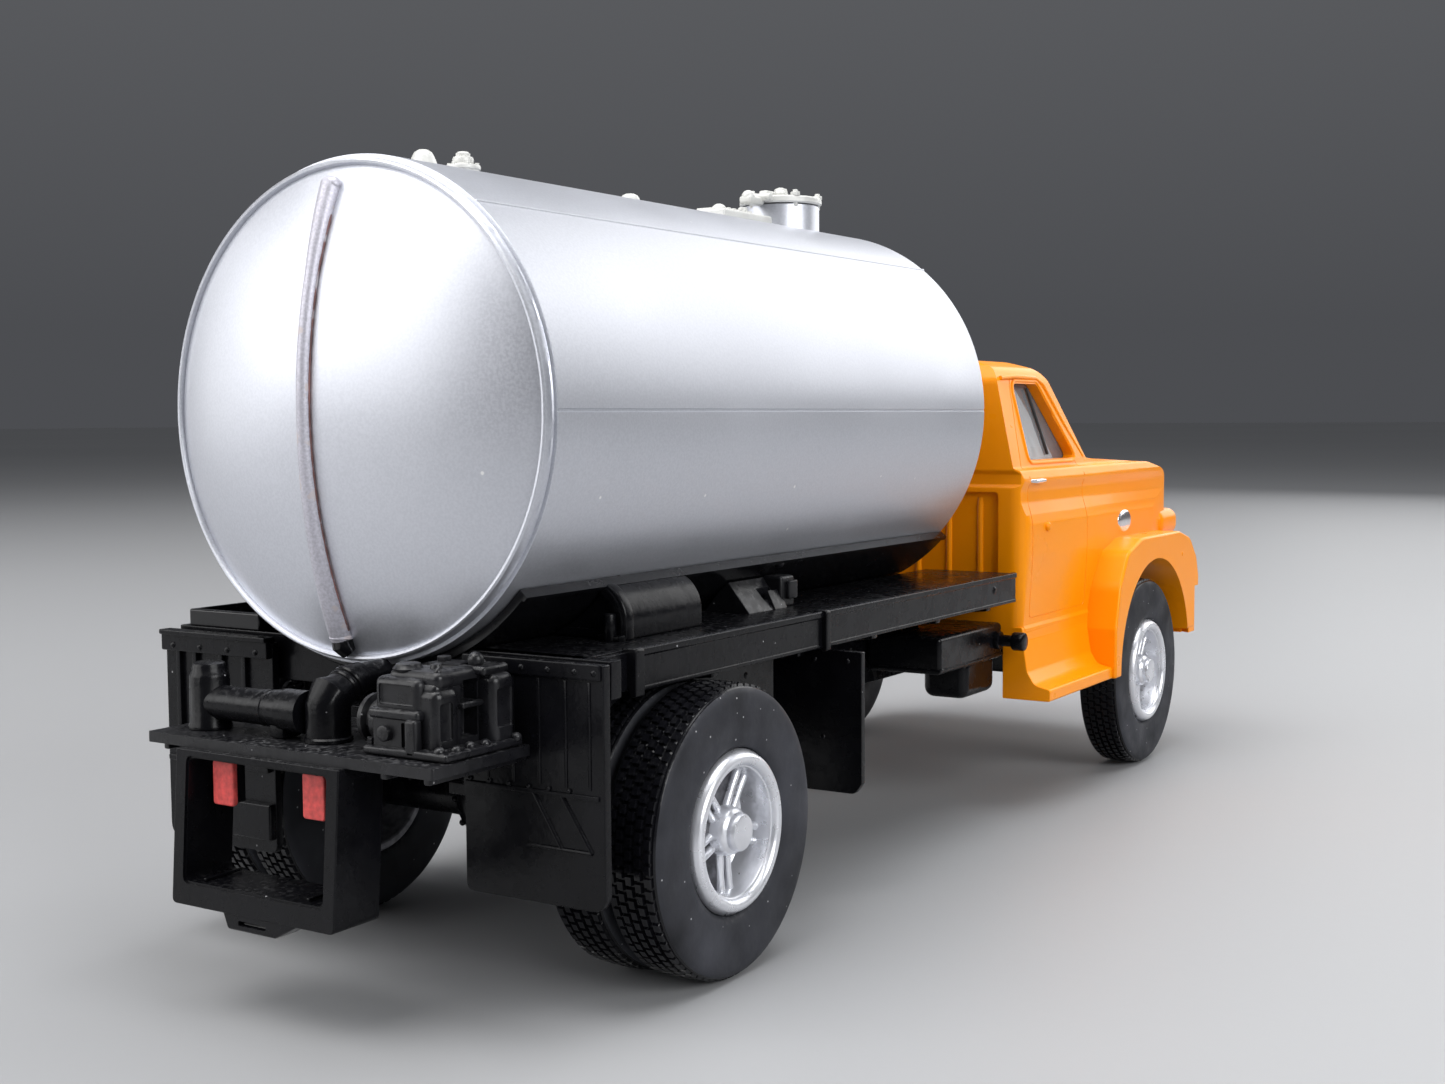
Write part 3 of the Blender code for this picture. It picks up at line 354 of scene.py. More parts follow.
def lathe(profile, centre, direction, steps=96):
    """A turned form: profile lists (radius, height) from the axis to the axis, or round a closed loop."""
    w = Vector(direction).normalized()
    u = w.orthogonal().normalized()
    v = w.cross(u)
    bm = bmesh.new()
    rings = []
    for r, h in profile:
        middle = Vector(centre) + w * h
        around = turns(steps) if r > 1e-6 else [0.0]
        rings.append([bm.verts.new(middle + (u * math.cos(t) + v * math.sin(t)) * r) for t in around])
    pairs = list(zip(rings, rings[1:]))
    if profile[0][0] > 1e-6:
        pairs.append((rings[-1], rings[0]))
    for a, b in pairs:
        for i in range(steps):
            j = (i + 1) % steps
            around = (a[i % len(a)], b[i % len(b)], b[j % len(b)], a[j % len(a)])
            corners = list(dict.fromkeys(around))
            if len(corners) > 2:
                bm.faces.new(corners)
    return outward(bm)


def rod(start, end, radius, end_radius=None, sides=32, bevel=0.06):
    """A cylinder or cone with its rims rounded."""
    start, end = Vector(start), Vector(end)
    length = (end - start).length
    r1, r2 = radius, radius if end_radius is None else end_radius
    e = min(bevel, r1 / 3, r2 / 3, length / 3)
    lower = [(0, 0), (r1 - e, 0), (r1 - 0.3 * e, 0.3 * e), (r1, e)]
    upper = [(r2, length - e), (r2 - 0.3 * e, length - 0.3 * e), (r2 - e, length), (0, length)]
    return lathe(lower + upper, start, end - start, sides)


def post(x, y, low, high, *radii, **settings):
    """An upright rod."""
    return rod((x, y, low), (x, y, high), *radii, **settings)


def crossbar(x, z, start, end, radius, **settings):
    """A rod that lies across the truck."""
    return rod((x, start, z), (x, end, z), radius, **settings)


def ring_faces(bm, pairs):
    """Faces from each ring of vertices to the ring it is paired with."""
    for a, b in pairs:
        for i in range(len(a)):
            j = (i + 1) % len(a)
            bm.faces.new((a[i], a[j], b[j], b[i]))


def sweep(points, radius, sides=20, flatten=1.0):
    """A tube along points; radius is one number or one for each point."""
    points = [Vector(p) for p in points]
    radii = radius if isinstance(radius, list) else [radius] * len(points)
    bm = bmesh.new()
    rings = []
    normal = None
    for i, (point, r) in enumerate(zip(points, radii)):
        along = (points[min(i + 1, len(points) - 1)] - points[max(i - 1, 0)]).normalized()
        normal = along.orthogonal().normalized() if normal is None else normal
        normal = (normal - along * normal.dot(along)).normalized()
        side = along.cross(normal)
        reach = [(normal * math.cos(t) * flatten + side * math.sin(t)) * r for t in turns(sides)]
        rings.append([bm.verts.new(point + arm) for arm in reach])
    ring_faces(bm, zip(rings, rings[1:]))
    bm.faces.new(rings[0][::-1])
    bm.faces.new(rings[-1])
    return outward(bm)


def loop(points, radius, sides=12):
    """A closed tube along points."""
    points = [Vector(p) for p in points]
    bm = bmesh.new()
    rings = []
    count = len(points)
    middle = sum(points, Vector()) / count
    for i, point in enumerate(points):
        along = (points[(i + 1) % count] - points[i - 1]).normalized()
        out = point - middle
        normal = (out - along * out.dot(along)).normalized()
        side = along.cross(normal)
        reach = [(normal * math.cos(t) + side * math.sin(t)) * radius for t in turns(sides)]
        rings.append([bm.verts.new(point + arm) for arm in reach])
    ring_faces(bm, zip(rings, rings[1:] + rings[:1]))
    return outward(bm)


def fine(outline, step=0.8):
    """The outline with points added along its long straight runs."""
    result = []
    for a, b in zip(outline, outline[1:] + outline[:1]):
        a, b = Vector(a), Vector(b)
        count = max(1, int((b - a).length / step))
        result += [tuple(a.lerp(b, k / count)) for k in range(count)]
    return result


def ball(centre, radius, squash=(1, 1, 1), sides=24):
    bm = bmesh.new()
    matrix = Matrix.Translation(centre) @ Matrix.Diagonal((*squash, 1.0))
    size = {"u_segments": sides, "v_segments": sides // 2, "radius": radius}
    bmesh.ops.create_uvsphere(bm, matrix=matrix, **size)
    return bm


def rivet(point, out, radius=0.2, height=0.12):
    """A domed rivet head that stands on a surface at point, facing out."""
    dome = [(0, height), (radius * 0.45, height * 0.9), (radius * 0.8, height * 0.55)]
    return lathe([*dome, (radius, 0), (radius, -0.1), (0, -0.1)], point, out, 12)


def merge(*forms):
    """One bmesh from several."""
    whole = bmesh.new()
    for form in forms:
        mesh = bpy.data.meshes.new("part")
        form.to_mesh(mesh)
        form.free()
        whole.from_mesh(mesh)
        bpy.data.meshes.remove(mesh)
    return whole


def add_object(name, data):
    obj = bpy.data.objects.new(name, data)
    bpy.context.scene.collection.objects.link(obj)
    return obj


def scratch_object(form):
    mesh = bpy.data.meshes.new("scratch")
    form.to_mesh(mesh)
    form.free()
    return add_object("scratch", mesh)


def combine(form, operation, *others):
    """The form after a boolean with each of the others."""
    base = scratch_object(form)
    tools = [scratch_object(other) for other in others]
    for tool in tools:
        mod = base.modifiers.new("boolean", "BOOLEAN")
        mod.operation = operation
        mod.object = tool
        mod.solver = "EXACT"
    depsgraph = bpy.context.evaluated_depsgraph_get()
    result = bmesh.new()
    result.from_mesh(base.evaluated_get(depsgraph).to_mesh())
    for obj in (base, *tools):
        mesh = obj.data
        bpy.data.objects.remove(obj, do_unlink=True)
        bpy.data.meshes.remove(mesh)
    return result


def cut(form, *others):
    return combine(form, "DIFFERENCE", *others)


def piece(name, form, look, body="truck", replaces=(), slot=None, angle=32.0, choose=None, second=None):
    """Puts a form in the scene as one piece. Faces whose centre choose picks look like second."""
    bmesh.ops.scale(form, vec=(MM, MM, MM), verts=form.verts)
    mesh = bpy.data.meshes.new(name)
    form.to_mesh(mesh)
    form.free()
    mesh.materials.append(FINISH[look])
    if choose:
        mesh.materials.append(FINISH[second])
        for polygon in mesh.polygons:
            polygon.material_index = int(choose(polygon.center / MM))
    mesh.shade_smooth()
    mesh.set_sharp_from_angle(angle=math.radians(angle))
    obj = add_object(name, mesh)
    normals = obj.modifiers.new("normals", "WEIGHTED_NORMAL")
    normals.keep_sharp = True
    normals.weight = 80
    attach(obj, body)
    if replaces:
        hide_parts(*replaces)
    slot = slot or SLOTS[look]
    return obj


def cover(node, form, look, **settings):
    """The piece that shows one node of the CAD."""
    return piece(f"{node}_look", form, look, replaces=[node], **settings)


def arc(centre, radius, start, end, count):
    """Points on a circle from start to end, in degrees, both included."""
    angles = [math.radians(start + (end - start) * i / count) for i in range(count + 1)]
    return [(centre[0] + radius * math.cos(t), centre[1] + radius * math.sin(t)) for t in angles]


def rounded(corners, count=5):
    """An outline from (u, v, radius) corners, with each corner turned into an arc."""
    outline = []
    total = len(corners)
    for i, (u, v, radius) in enumerate(corners):
        here = Vector((u, v))
        before = Vector(corners[i - 1][:2]) - here
        after = Vector(corners[(i + 1) % total][:2]) - here
        if radius <= 0:
            outline.append((u, v))
            continue
        half = before.angle(after) / 2
        reach = min(radius / math.tan(half), before.length * 0.48, after.length * 0.48)
        start, end = here + before.normalized() * reach, here + after.normalized() * reach
        for k in range(count + 1):
            t = k / count
            outline.append(tuple(start * (1 - t) ** 2 + here * 2 * t * (1 - t) + end * t**2))
    return outline


def inset(outline, amount):
    """The outline moved inwards by amount; the outline runs anticlockwise."""
    result = []
    count = len(outline)
    for i in range(count):
        before, here, after = (Vector(outline[(i + k) % count]) for k in (-1, 0, 1))
        d1, d2 = (here - before).normalized(), (after - here).normalized()
        n1, n2 = Vector((-d1.y, d1.x)), Vector((-d2.y, d2.x))
        middle = (n1 + n2).normalized()
        result.append(tuple(here + middle * amount / middle.dot(n1)))
    return result


def on_side(outline, side):
    """A left part's outline, or its mirror image for the right; both run anticlockwise."""
    return [(side * u, v) for u, v in (outline if side > 0 else outline[::-1])]


def both_sides(half):
    """Half an outline, then its mirror image in the first axis; corners may end in a radius."""
    return half + [(-u, *rest) for u, *rest in reversed(half)]


def fore_and_aft(half):
    """Half an outline seen from above, then its mirror image across the truck's middle."""
    return half + [(u, -v, *rest) for u, v, *rest in reversed(half)]


# ---------------------------------------------------------------- camera, lights and floor


CAMERA_PLACE, CAMERA_AIM, CAMERA_ROLL = (-113.63, -66.86, 31.12), (0.84389, 0.53169, -0.07180), -0.006
FLOOR_REACH = 6.0


def aimed(direction):
    return Vector(direction).to_track_quat("-Z", "Y")


def make_camera():
    bpy.context.scene.view_settings.view_transform = "Standard"
    camera = bpy.data.cameras.new("camera")
    camera.sensor_width = 36.0
    camera.lens = 43.31
    camera.clip_start, camera.clip_end = 0.001, 50.0
    camera.dof.use_dof = False
    view = add_object("camera", camera)
    turn = aimed(CAMERA_AIM).to_matrix().to_4x4() @ Matrix.Rotation(CAMERA_ROLL, 4, "Z")
    view.matrix_world = Matrix.Translation(Vector(CAMERA_PLACE) * MM) @ turn
    bpy.context.scene.camera = view


def make_sky():
    """Dim grey light from all round, paler above."""
    world = bpy.data.worlds.new("studio")
    world.use_nodes = True
    nodes, links = world.node_tree.nodes, world.node_tree.links
    background = nodes["Background"]
    background.inputs[1].default_value = 0.24
    place = nodes.new("ShaderNodeTexCoord")
    split = nodes.new("ShaderNodeSeparateXYZ")
    sky = nodes.new("ShaderNodeValToRGB")
    links.new(place.outputs["Generated"], split.inputs[0])
    links.new(split.outputs["Z"], sky.inputs[0])
    links.new(sky.outputs[0], background.inputs[0])
    stops = ((0.05, (0.30, 0.31, 0.34, 1.0)), (0.8, (0.78, 0.80, 0.84, 1.0)))
    for stop, (position, colour) in zip(sky.color_ramp.elements, stops):
        stop.position = position
        stop.color = colour
    bpy.context.scene.world = world


def make_lamps():
    """Area lights, in metres: name, place, what it points at, width, height, watts, colour."""
    lamps = (
        ("key", (-0.22, 0.10, 0.44), (-0.02, 0.0, 0.035), 0.36, 0.26, 1.9, (1.0, 0.99, 0.98)),
        ("top", (0.06, -0.05, 0.50), (0.0, 0.0, 0.02), 0.40, 0.30, 1.7, (0.97, 0.98, 1.0)),
        ("side", (-0.12, -0.46, 0.24), (0.01, 0.0, 0.02), 0.34, 0.22, 1.7, (0.98, 0.99, 1.0)),
        ("front", (0.46, -0.10, 0.24), (0.0, 0.0, 0.03), 0.46, 0.36, 1.1, (1.0, 1.0, 1.0)),
        ("rear", (-0.40, 0.26, 0.22), (-0.03, 0.0, 0.03), 0.42, 0.30, 1.15, (1.0, 1.0, 1.0)),
        ("left", (-0.20, 0.44, 0.12), (-0.04, 0.0, 0.03), 0.34, 0.24, 0.36, (1.0, 1.0, 1.0)),
    )
    for name, position, target, width, height, power, colour in lamps:
        light = bpy.data.lights.new(name, "AREA")
        light.shape = "RECTANGLE"
        light.size, light.size_y = width, height
        light.energy = power
        light.color = colour
        lamp = add_object(name, light)
        lamp.location = position
        lamp.visible_camera = False
        lamp.rotation_euler = aimed(Vector(target) - Vector(position)).to_euler()


def make_floor():
    mesh = bpy.data.meshes.new("floor")
    corners = [(u * FLOOR_REACH, v * FLOOR_REACH, 0) for u, v in ((-1, -1), (1, -1), (1, 1), (-1, 1))]
    mesh.from_pydata(corners, [], [(0, 1, 2, 3)])
    mesh.materials.append(floor_paper())
    floor = add_object("floor", mesh)


# ---------------------------------------------------------------- wheelsets


def tyre_form(x, inner_y, side):
    """A tyre with five rows of small tread blocks, each row half a block on from the next."""
    pitches, rows, shoulder, groove, groove_r = 76, 5, 0.34, 0.12, 8.02
    stations = (0.0, 0.05, 0.27, 0.32, 0.5, 0.55, 0.77, 0.82)
    gaps = {0: (1, 2), 1: (5, 6)}
    row_pitch = (TYRE_W - 2 * shoulder) / rows
    wall = [
        (3.27, 8.04), (3.38, 7.97), (3.46, 7.84), (3.52, 7.66), (3.55, 7.4), (3.57, 7.1),
        (3.575, 6.4), (3.56, 5.5), (3.53, 5.15), (3.46, 4.9), (3.3, 4.7), (3.1, 4.62),
    ]
    section = [(TYRE_W - w, r, None) for w, r in wall[::-1]]
    for row in range(rows):
        w0 = shoulder + row * row_pitch + groove / 2
        w1 = w0 + row_pitch - groove
        crown = TYRE_R - 0.07 * (abs(row - 2) / 2) ** 2
        section += [(w0, groove_r, None), (w0 + 0.05, crown, row)]
        section += [(w1 - 0.05, crown, row), (w1, groove_r, None)]
    section += [(w, r, None) for w, r in wall]
    bm = bmesh.new()
    rings = []
    for k in range(pitches):
        for s, station in enumerate(stations):
            t = math.tau * (k + station) / pitches
            ring = []
            for w, r, row in section:
                if row is not None and s in gaps[row % 2]:
                    r = groove_r + 0.03
                point = (x + r * math.cos(t), side * (inner_y + w), AXLE_Z + r * math.sin(t))
                ring.append(bm.verts.new(point))
            rings.append(ring)
    ring_faces(bm, zip(rings, rings[1:] + rings[:1]))
    return outward(bm)


def spoke_forms(centre, out, angle, floor):
    """One spoke: a web with a ridge along each edge."""
    along = Vector((math.cos(angle), 0, math.sin(angle)))
    across = Vector((-math.sin(angle), 0, math.cos(angle)))
    forms = []
    for edge in (-1, 1):
        start = centre + along * 1.1 + across * 0.36 * edge - out * 1.14
        end = centre + along * 3.6 + across * 0.42 * edge - out * 1.1
        forms.append(sweep([start, start.lerp(end, 0.5), end], [0.25, 0.2, 0.26], 14))
    corners = [(1.2, -0.36), (3.5, -0.46), (3.5, 0.46), (1.2, 0.36)]
    web = bmesh.new()
    flat = [centre + along * u + across * v for u, v in corners]
    low, high = ([web.verts.new(point + out * depth) for point in flat] for depth in (floor - 0.1, -1.3))
    web.faces.new(low)
    web.faces.new(high[::-1])
    for i in range(4):
        web.faces.new((low[i - 1], low[i], high[i], high[i - 1]))
    return [*forms, outward(web)]


def hub_form(x, face_y, width, side):
    """A deep cast wheel: rounded rim ring, dish, hat with a plain cap, and five double-ridged spokes."""
    floor, back = -2.0, -width
    bore_end = back + 0.1 if width > TYRE_W else -3.3
    profile = [
        (0, 0.30), (0.84, 0.30), (0.97, 0.26), (1.04, 0.16), (1.07, 0.02), (1.08, -0.18), (1.14, -0.24),
        (1.24, -0.30), (1.32, -0.42), (1.36, -0.6), (1.42, -1.1), (1.5, floor + 0.15), (1.65, floor),
        (3.05, floor), (3.2, floor + 0.14), (3.34, -1.3), (3.5, -0.6), (3.56, -0.24), (3.6, -0.14),
        (3.68, -0.1), (3.7, -0.02), (3.76, 0.10), (3.87, 0.2), (4.02, 0.26), (4.16, 0.25), (4.3, 0.18),
        (4.4, 0.08), (4.45, -0.06), (4.6, -0.3), (4.6, back + 0.1), (4.5, back), (4.15, back),
        (4.05, back + 0.1), (4.0, -3.1), (3.8, -3.0), (1.5, -3.0), (1.4, -3.1), (1.4, bore_end),
        (0, bore_end),
    ]
    centre = Vector((x, side * face_y, AXLE_Z))
    out = Vector((0, side, 0))
    forms = [lathe(profile, centre, out, 96)]
    for k in range(5):
        forms += spoke_forms(centre, out, math.radians(57.0 + 72.0 * k), floor)
    return merge(*forms)


def from_axle(point, axle_x):
    """How far a point is from an axle's line."""
    return math.hypot(point.x - axle_x, point.z - AXLE_Z)


def make_tyre(node, body, x, inner_y, side):
    def on_tread(point):
        return from_axle(point, x) > 8.0

    # The tread takes a darker copy of the rubber as painted shade.
    cover(node, tyre_form(x, inner_y, side), "rubber", body=body, choose=on_tread, second="tread")


def make_hub(node, body, x, face_y, width, side):
    # Faces deep inside the hub take the rough finish whose darker tone is painted shade.
    def deep_inside(point):
        depth = face_y - abs(point.y)
        return depth > 1.25 and from_axle(point, x) < 3.1 or depth > 2.2

    form = hub_form(x, face_y, width, side)
    cover(node, form, "wheel", body=body, choose=deep_inside, second="wheel_rough_painted_shade")


def make_wheelsets():
    front, rear = "front_wheelset", "rear_wheelset"
    for label, side in SIDES.items():
        make_tyre(f"front_tyre_{label}", front, FRONT_AXLE_X, FRONT_FACE_Y - TYRE_W, side)
        make_tyre(f"rear_tyre_{label}_outer", rear, REAR_AXLE_X, REAR_FACE_Y - TYRE_W, side)
        make_tyre(f"rear_tyre_{label}_inner", rear, REAR_AXLE_X, REAR_FACE_Y - DUAL_W, side)
        make_hub(f"front_hub_{label}", front, FRONT_AXLE_X, FRONT_FACE_Y, TYRE_W, side)
        make_hub(f"rear_hub_{label}", rear, REAR_AXLE_X, REAR_FACE_Y, DUAL_W, side)
    for label, x, reach in (("front", FRONT_AXLE_X, 15.4), ("rear", REAR_AXLE_X, 13.0)):
        collars = [crossbar(x, AXLE_Z, s * 9.05, s * 9.45, 0.9) for s in (-1, 1)]
        axle = merge(crossbar(x, AXLE_Z, -reach, reach, 0.5), *collars)
        cover(f"{label}_axle", axle, "steel", body=f"{label}_wheelset")


# ---------------------------------------------------------------- chassis and deck


def make_frame():
    forms = [block((FRAME_REAR, -FRAME_Y + 0.1, 14.2), (FRAME_FRONT, FRAME_Y - 0.1, FRAME_TOP), 0.08)]
    channel = [
        (6.75, 11.0), (6.75, 15.15), (5.1, 15.15), (5.1, 14.5),
        (6.15, 14.5), (6.15, 11.65), (5.1, 11.65), (5.1, 11.0),
    ]
    for side in (-1, 1):
        forms.append(prism([(side * u, v) for u, v in channel], "X", FRAME_REAR, FRAME_FRONT, 0.08))
        for k in range(18):
            x = FRAME_REAR + 3.0 + k * 5.0
            forms += [rivet((x, side * FRAME_Y, z), (0, side, 0), 0.22, 0.1) for z in (13.9, 12.2)]
    for x in (-40.0, -22.0, -4.0, 14.0, 30.0, 46.0):
        forms.append(block((x - 0.8, -6.3, 11.9), (x + 0.8, 6.3, 14.4), 0.12))
    cover("chassis_frame", merge(*forms), "black")


def make_screws():
    for label, x in (("front", 22.0), ("rear", -14.0)):
        head = cut(
            post(x, 0, 12.42, 13.14, 1.33, sides=48),
            block((x - 0.8, -0.13, 12.0), (x + 0.8, 0.13, 12.75), 0),
            block((x - 0.13, -0.8, 12.0), (x + 0.13, 0.8, 12.75), 0),
        )
        cover(f"chassis_screw_{label}", head, "steel")


def leaf_springs(x):
    """Four leaves, a clamp and two bolts on each side of an axle."""
    forms = []
    for side in (-1, 1):
        y0, y1 = side * 5.3, side * 6.6
        for leaf in range(4):
            half = 6.6 - 1.35 * leaf
            z = 10.75 - 0.36 * leaf
            drops = ((-1, 0), (-0.5, 0.12), (0, 0.2), (0.5, 0.12), (1, 0))
            rise = [(x + half * share, z - drop) for share, drop in drops]
            outline = rise + [(u, v - 0.26) for u, v in reversed(rise)]
            forms.append(prism(outline, "Y", min(y0, y1), max(y0, y1), 0.04))
        forms.append(block((x - 0.9, y0, 8.6), (x + 0.9, y1, 10.0), 0.15))
        forms += [post(x + dx, side * 5.95, 8.9, 10.9, 0.2, sides=14) for dx in (-1.15, 1.15)]
    return forms


def make_axle_supports():
    x = REAR_AXLE_X
    bulb = [
        (0, 2.2), (0.9, 2.15), (1.5, 1.95), (2.1, 1.4), (2.45, 0.6),
        (2.5, 0), (2.45, -0.6), (2.1, -1.4), (1.4, -2.0), (0, -2.1),
    ]
    forms = [crossbar(x, AXLE_Z, -8.6, 8.6, 1.35), lathe(bulb, (x, 0, AXLE_Z), BACK, 48)]
    ring = [(x - 1.75, 1.9 * math.sin(t), AXLE_Z + 1.9 * math.cos(t)) for t in turns(8)]
    forms += [rivet(point, BACK, 0.2) for point in ring]
    cover("rear_axle_housing", merge(*forms, *leaf_springs(x)), "black")

    x = FRONT_AXLE_X
    beam = block((x - 1.1, -9.0, 7.2), (x + 1.1, 9.0, 9.3), 0.3, 3)
    cover("front_axle_beam", merge(beam, *leaf_springs(x)), "black")


def saddle_form():
    """What the tank and its saddle take out of the deck and its fittings."""
    radius = SADDLE_OUT_R + 0.1
    return lathe([(0, -46), (radius, -46), (radius, 14), (0, 14)], (0, 0, TANK_Z), AHEAD, 160)


def deck_side(side):
    """The side rail, a flat top over a plain face and a small foot, and what is fitted to it."""
    rail = [
        (13.4, DECK_BOTTOM), (14.5, DECK_BOTTOM), (14.54, DECK_BOTTOM + 0.06),
        (14.54, DECK_BOTTOM + 0.2), (14.5, DECK_BOTTOM + 0.26), (14.5, DECK_TOP - 0.4),
        (14.61, DECK_TOP - 0.3), (14.61, DECK_TOP), (14.5, DECK_TOP + 0.06),
        (14.28, DECK_TOP + 0.06), (14.18, DECK_TOP - 0.02), (13.4, DECK_TOP - 0.02),
    ]
    clip = [
        (13.9, DECK_TOP + 0.02), (13.9, DECK_TOP + 0.14), (14.7, DECK_TOP + 0.14), (14.84, DECK_TOP),
        (14.84, DECK_BOTTOM - 0.2), (14.5, DECK_BOTTOM - 0.25), (14.3, DECK_BOTTOM),
    ]
    gusset = [(6.8, DECK_BOTTOM + 0.05), (6.8, 15.4), (13.6, 16.2), (13.6, DECK_BOTTOM + 0.05)]
    rail, clip, gusset = ([(side * u, v) for u, v in outline] for outline in (rail, clip, gusset))
    end_low = (DECK_REAR + 0.4, side * 13.4, DECK_BOTTOM + 0.1)
    end_high = (-38.6, side * 14.25, DECK_TOP - 0.1)
    sill_low = (DECK_REAR + 1.0, side * 5.0, FRAME_TOP)
    sill_high = (DECK_FRONT - 1.0, side * 6.7, DECK_BOTTOM + 0.1)
    return [
        prism(rail, "X", -38.9, DECK_FRONT, 0.03),
        block(end_low, end_high, 0.12),
        *[prism(clip, "X", x - reach, x + reach, 0.09, 3) for x, reach in ((-39.2, 0.42), (-18.6, 0.3))],
        block((-42.2, side * 13.6, 14.0), (-41.2, side * 14.2, 17.0), 0.1),
        rivet((8.0, side * 14.5, 17.9), (0, side, 0), 0.32, 0.1),
        block(sill_low, sill_high, 0.05),
        *[prism(gusset, "X", x - 0.4, x + 0.4, 0.06) for x in (-38.0, -30.0, -20.0, -10.0, 0.0, 9.0)],
    ]


def make_deck():
    slab = block((DECK_REAR, -13.95, DECK_BOTTOM), (DECK_FRONT, 13.95, DECK_TOP), 0.1)
    beam_outline = [(-15.0, 16.25), (15.0, 16.25), *both_sides([(15.9, 16.95), (15.9, DECK_TOP)])]
    beam = prism(beam_outline, "X", DECK_REAR - 0.02, DECK_REAR + 0.9, 0.08)
    forms = [cut(slab, saddle_form()), cut(beam, saddle_form()), *deck_side(-1), *deck_side(1)]
    cover("deck", merge(*forms), "black")


def make_saddle():
    down, reach, lip = -90, 48, 0.16
    centre = (0, TANK_Z)
    outline = [
        *arc(centre, SADDLE_OUT_R, down - 46.6, down + 46.6, 72),
        *arc(centre, SADDLE_OUT_R + lip, down + 46.8, down + reach, 2),
        *arc(centre, SADDLE_IN_R, down + reach, down - reach, 72),
        *arc(centre, SADDLE_OUT_R + lip, down - reach, down - 46.8, 2),
    ]
    cover("tank_saddle", prism(outline, "X", TANK_REAR + BEAD_W - 0.4, TANK_FRONT - 0.2), "gloss")


def make_locker():
    base = DECK_SEAT
    face = [(-6.5, base), (-6.5, 22.1), *arc((-9.65, 19.9), 2.2, 90, 180, 16), (-11.85, base)]
    lip = [(-6.5, base), (-6.5, 22.22), *arc((-9.65, 19.9), 2.32, 90, 180, 16), (-11.97, base)]
    box = cut(prism(face, "X", -36.5, -28.5, 0.22, 3), saddle_form())
    rear_lip = cut(prism(lip, "X", -36.45, -35.6, 0.16, 3), saddle_form())
    forms = [
        cut(box, prism(inset(face, 0.55), "X", -37.0, -36.25)),
        cut(rear_lip, prism(inset(face, 0.5), "X", -38, -34, 0)),
        post(-36.8, -11.1, base, 20.4, 0.42, 0.36, 20, 0.1),
        block((-37.0, -11.9, base), (-36.0, -10.4, base + 0.35), 0.1),
        post(-34.6, -9.9, 21.9, 22.45, 0.4, 0.3, 20, 0.08),
    ]
    cover("deck_locker", merge(*forms), "black")


def make_wedge():
    ridge = prism([(-7.7, DECK_SEAT), (-9.4, 20.95), (-11.1, DECK_SEAT)], "X", -22.0, -17.4, 0.08)
    notch = prism([(-19.7, 21.2), (-19.4, 19.5), (-17.9, 19.5), (-17.9, 21.2)], "Y", -12.0, -10.0)
    tooth = prism([(-9.9, DECK_SEAT), (-10.6, 20.1), (-11.2, DECK_SEAT)], "X", -19.0, -17.5, 0.06)
    cover("wedge_bracket", merge(cut(ridge, notch, saddle_form()), tooth), "cast")


def make_hose_coupling():
    x, y = -17.0, -10.2
    forms = [
        block((x - 0.85, y - 0.75, DECK_SEAT), (x + 0.85, y + 0.7, 20.9), 0.2, 3),
        rod((x - 1.15, y, 21.1), (x + 1.15, y, 21.1), 0.92, sides=28, bevel=0.18),
        rod((x - 1.3, y, 21.2), (x - 1.05, y, 21.2), 0.6, sides=24),
        ball((x + 0.1, y + 0.05, 21.75), 0.42),
        block((x - 0.3, y - 1.0, 19.4), (x + 0.9, y - 0.5, 20.6), 0.14),
        crossbar(x + 0.3, 20.0, y - 0.9, y - 1.12, 0.3, sides=6, bevel=0.03),
    ]
    cover("hose_coupling", cut(merge(*forms), saddle_form()), "cast")


def make_hose_tray():
    rear, right, front, left, rim = DECK_REAR, 9.2, -19.0, 15.1, 0.38
    well_low, well_high = (rear + rim, right + rim, DECK_SEAT + 0.3), (front - rim, left - rim, 22)
    tray = cut(
        block((rear, right, DECK_SEAT), (front, left, 19.9), 0.12, 3), block(well_low, well_high, 0.1),
    )
    y0, y1, z0, z1 = right + rim, left - rim, DECK_SEAT + 0.2, DECK_SEAT + 0.5
    ribs = [block((x - 0.12, y0, z0), (x + 0.12, y1, z1), 0.05) for x in (-38, -33, -28, -23)]
    cover("hose_tray", merge(tray, *ribs), "gloss")


# ---------------------------------------------------------------- tank


def head_depth(radius):
    """How far the dished head stands out of its rim plane at a radius from the tank's axis."""
    return HEAD_DEPTH - HEAD_CROWN_R + math.sqrt(HEAD_CROWN_R**2 - radius**2)


SEAMS = {0.0: -0.06, 51.0: 0.1, 129.0: 0.1, 180.0: -0.06, 360.0: -0.06}


def make_barrel():
    """The tank's shell, with a groove or a raised strip along each of its seams."""
    plain = {round(k * 1.5, 3) for k in range(240)}
    edges = {round(m + d, 3) for m in (0, 51, 129, 180) for d in (-0.4, -0.19, 0.19, 0.4)}
    outline = []
    for degrees in sorted(plain | edges):
        rise = next((height for middle, height in SEAMS.items() if abs(degrees - middle) < 0.2), 0.0)
        t, r = math.radians(degrees), TANK_R + rise
        outline.append((r * math.cos(t), TANK_Z + r * math.sin(t)))
    solid = prism(outline, "X", TANK_REAR + 0.1, TANK_FRONT - 0.1, 0.05, 2, 60)
    bore = lathe([(0, -60), (12.83, -60), (12.83, 20), (0, 20)], (0, 0, TANK_Z), AHEAD, 96)
    piece("tank_barrel", cut(solid, bore), "silver", replaces=["tank_upper_shell", "tank_lower_shell"])


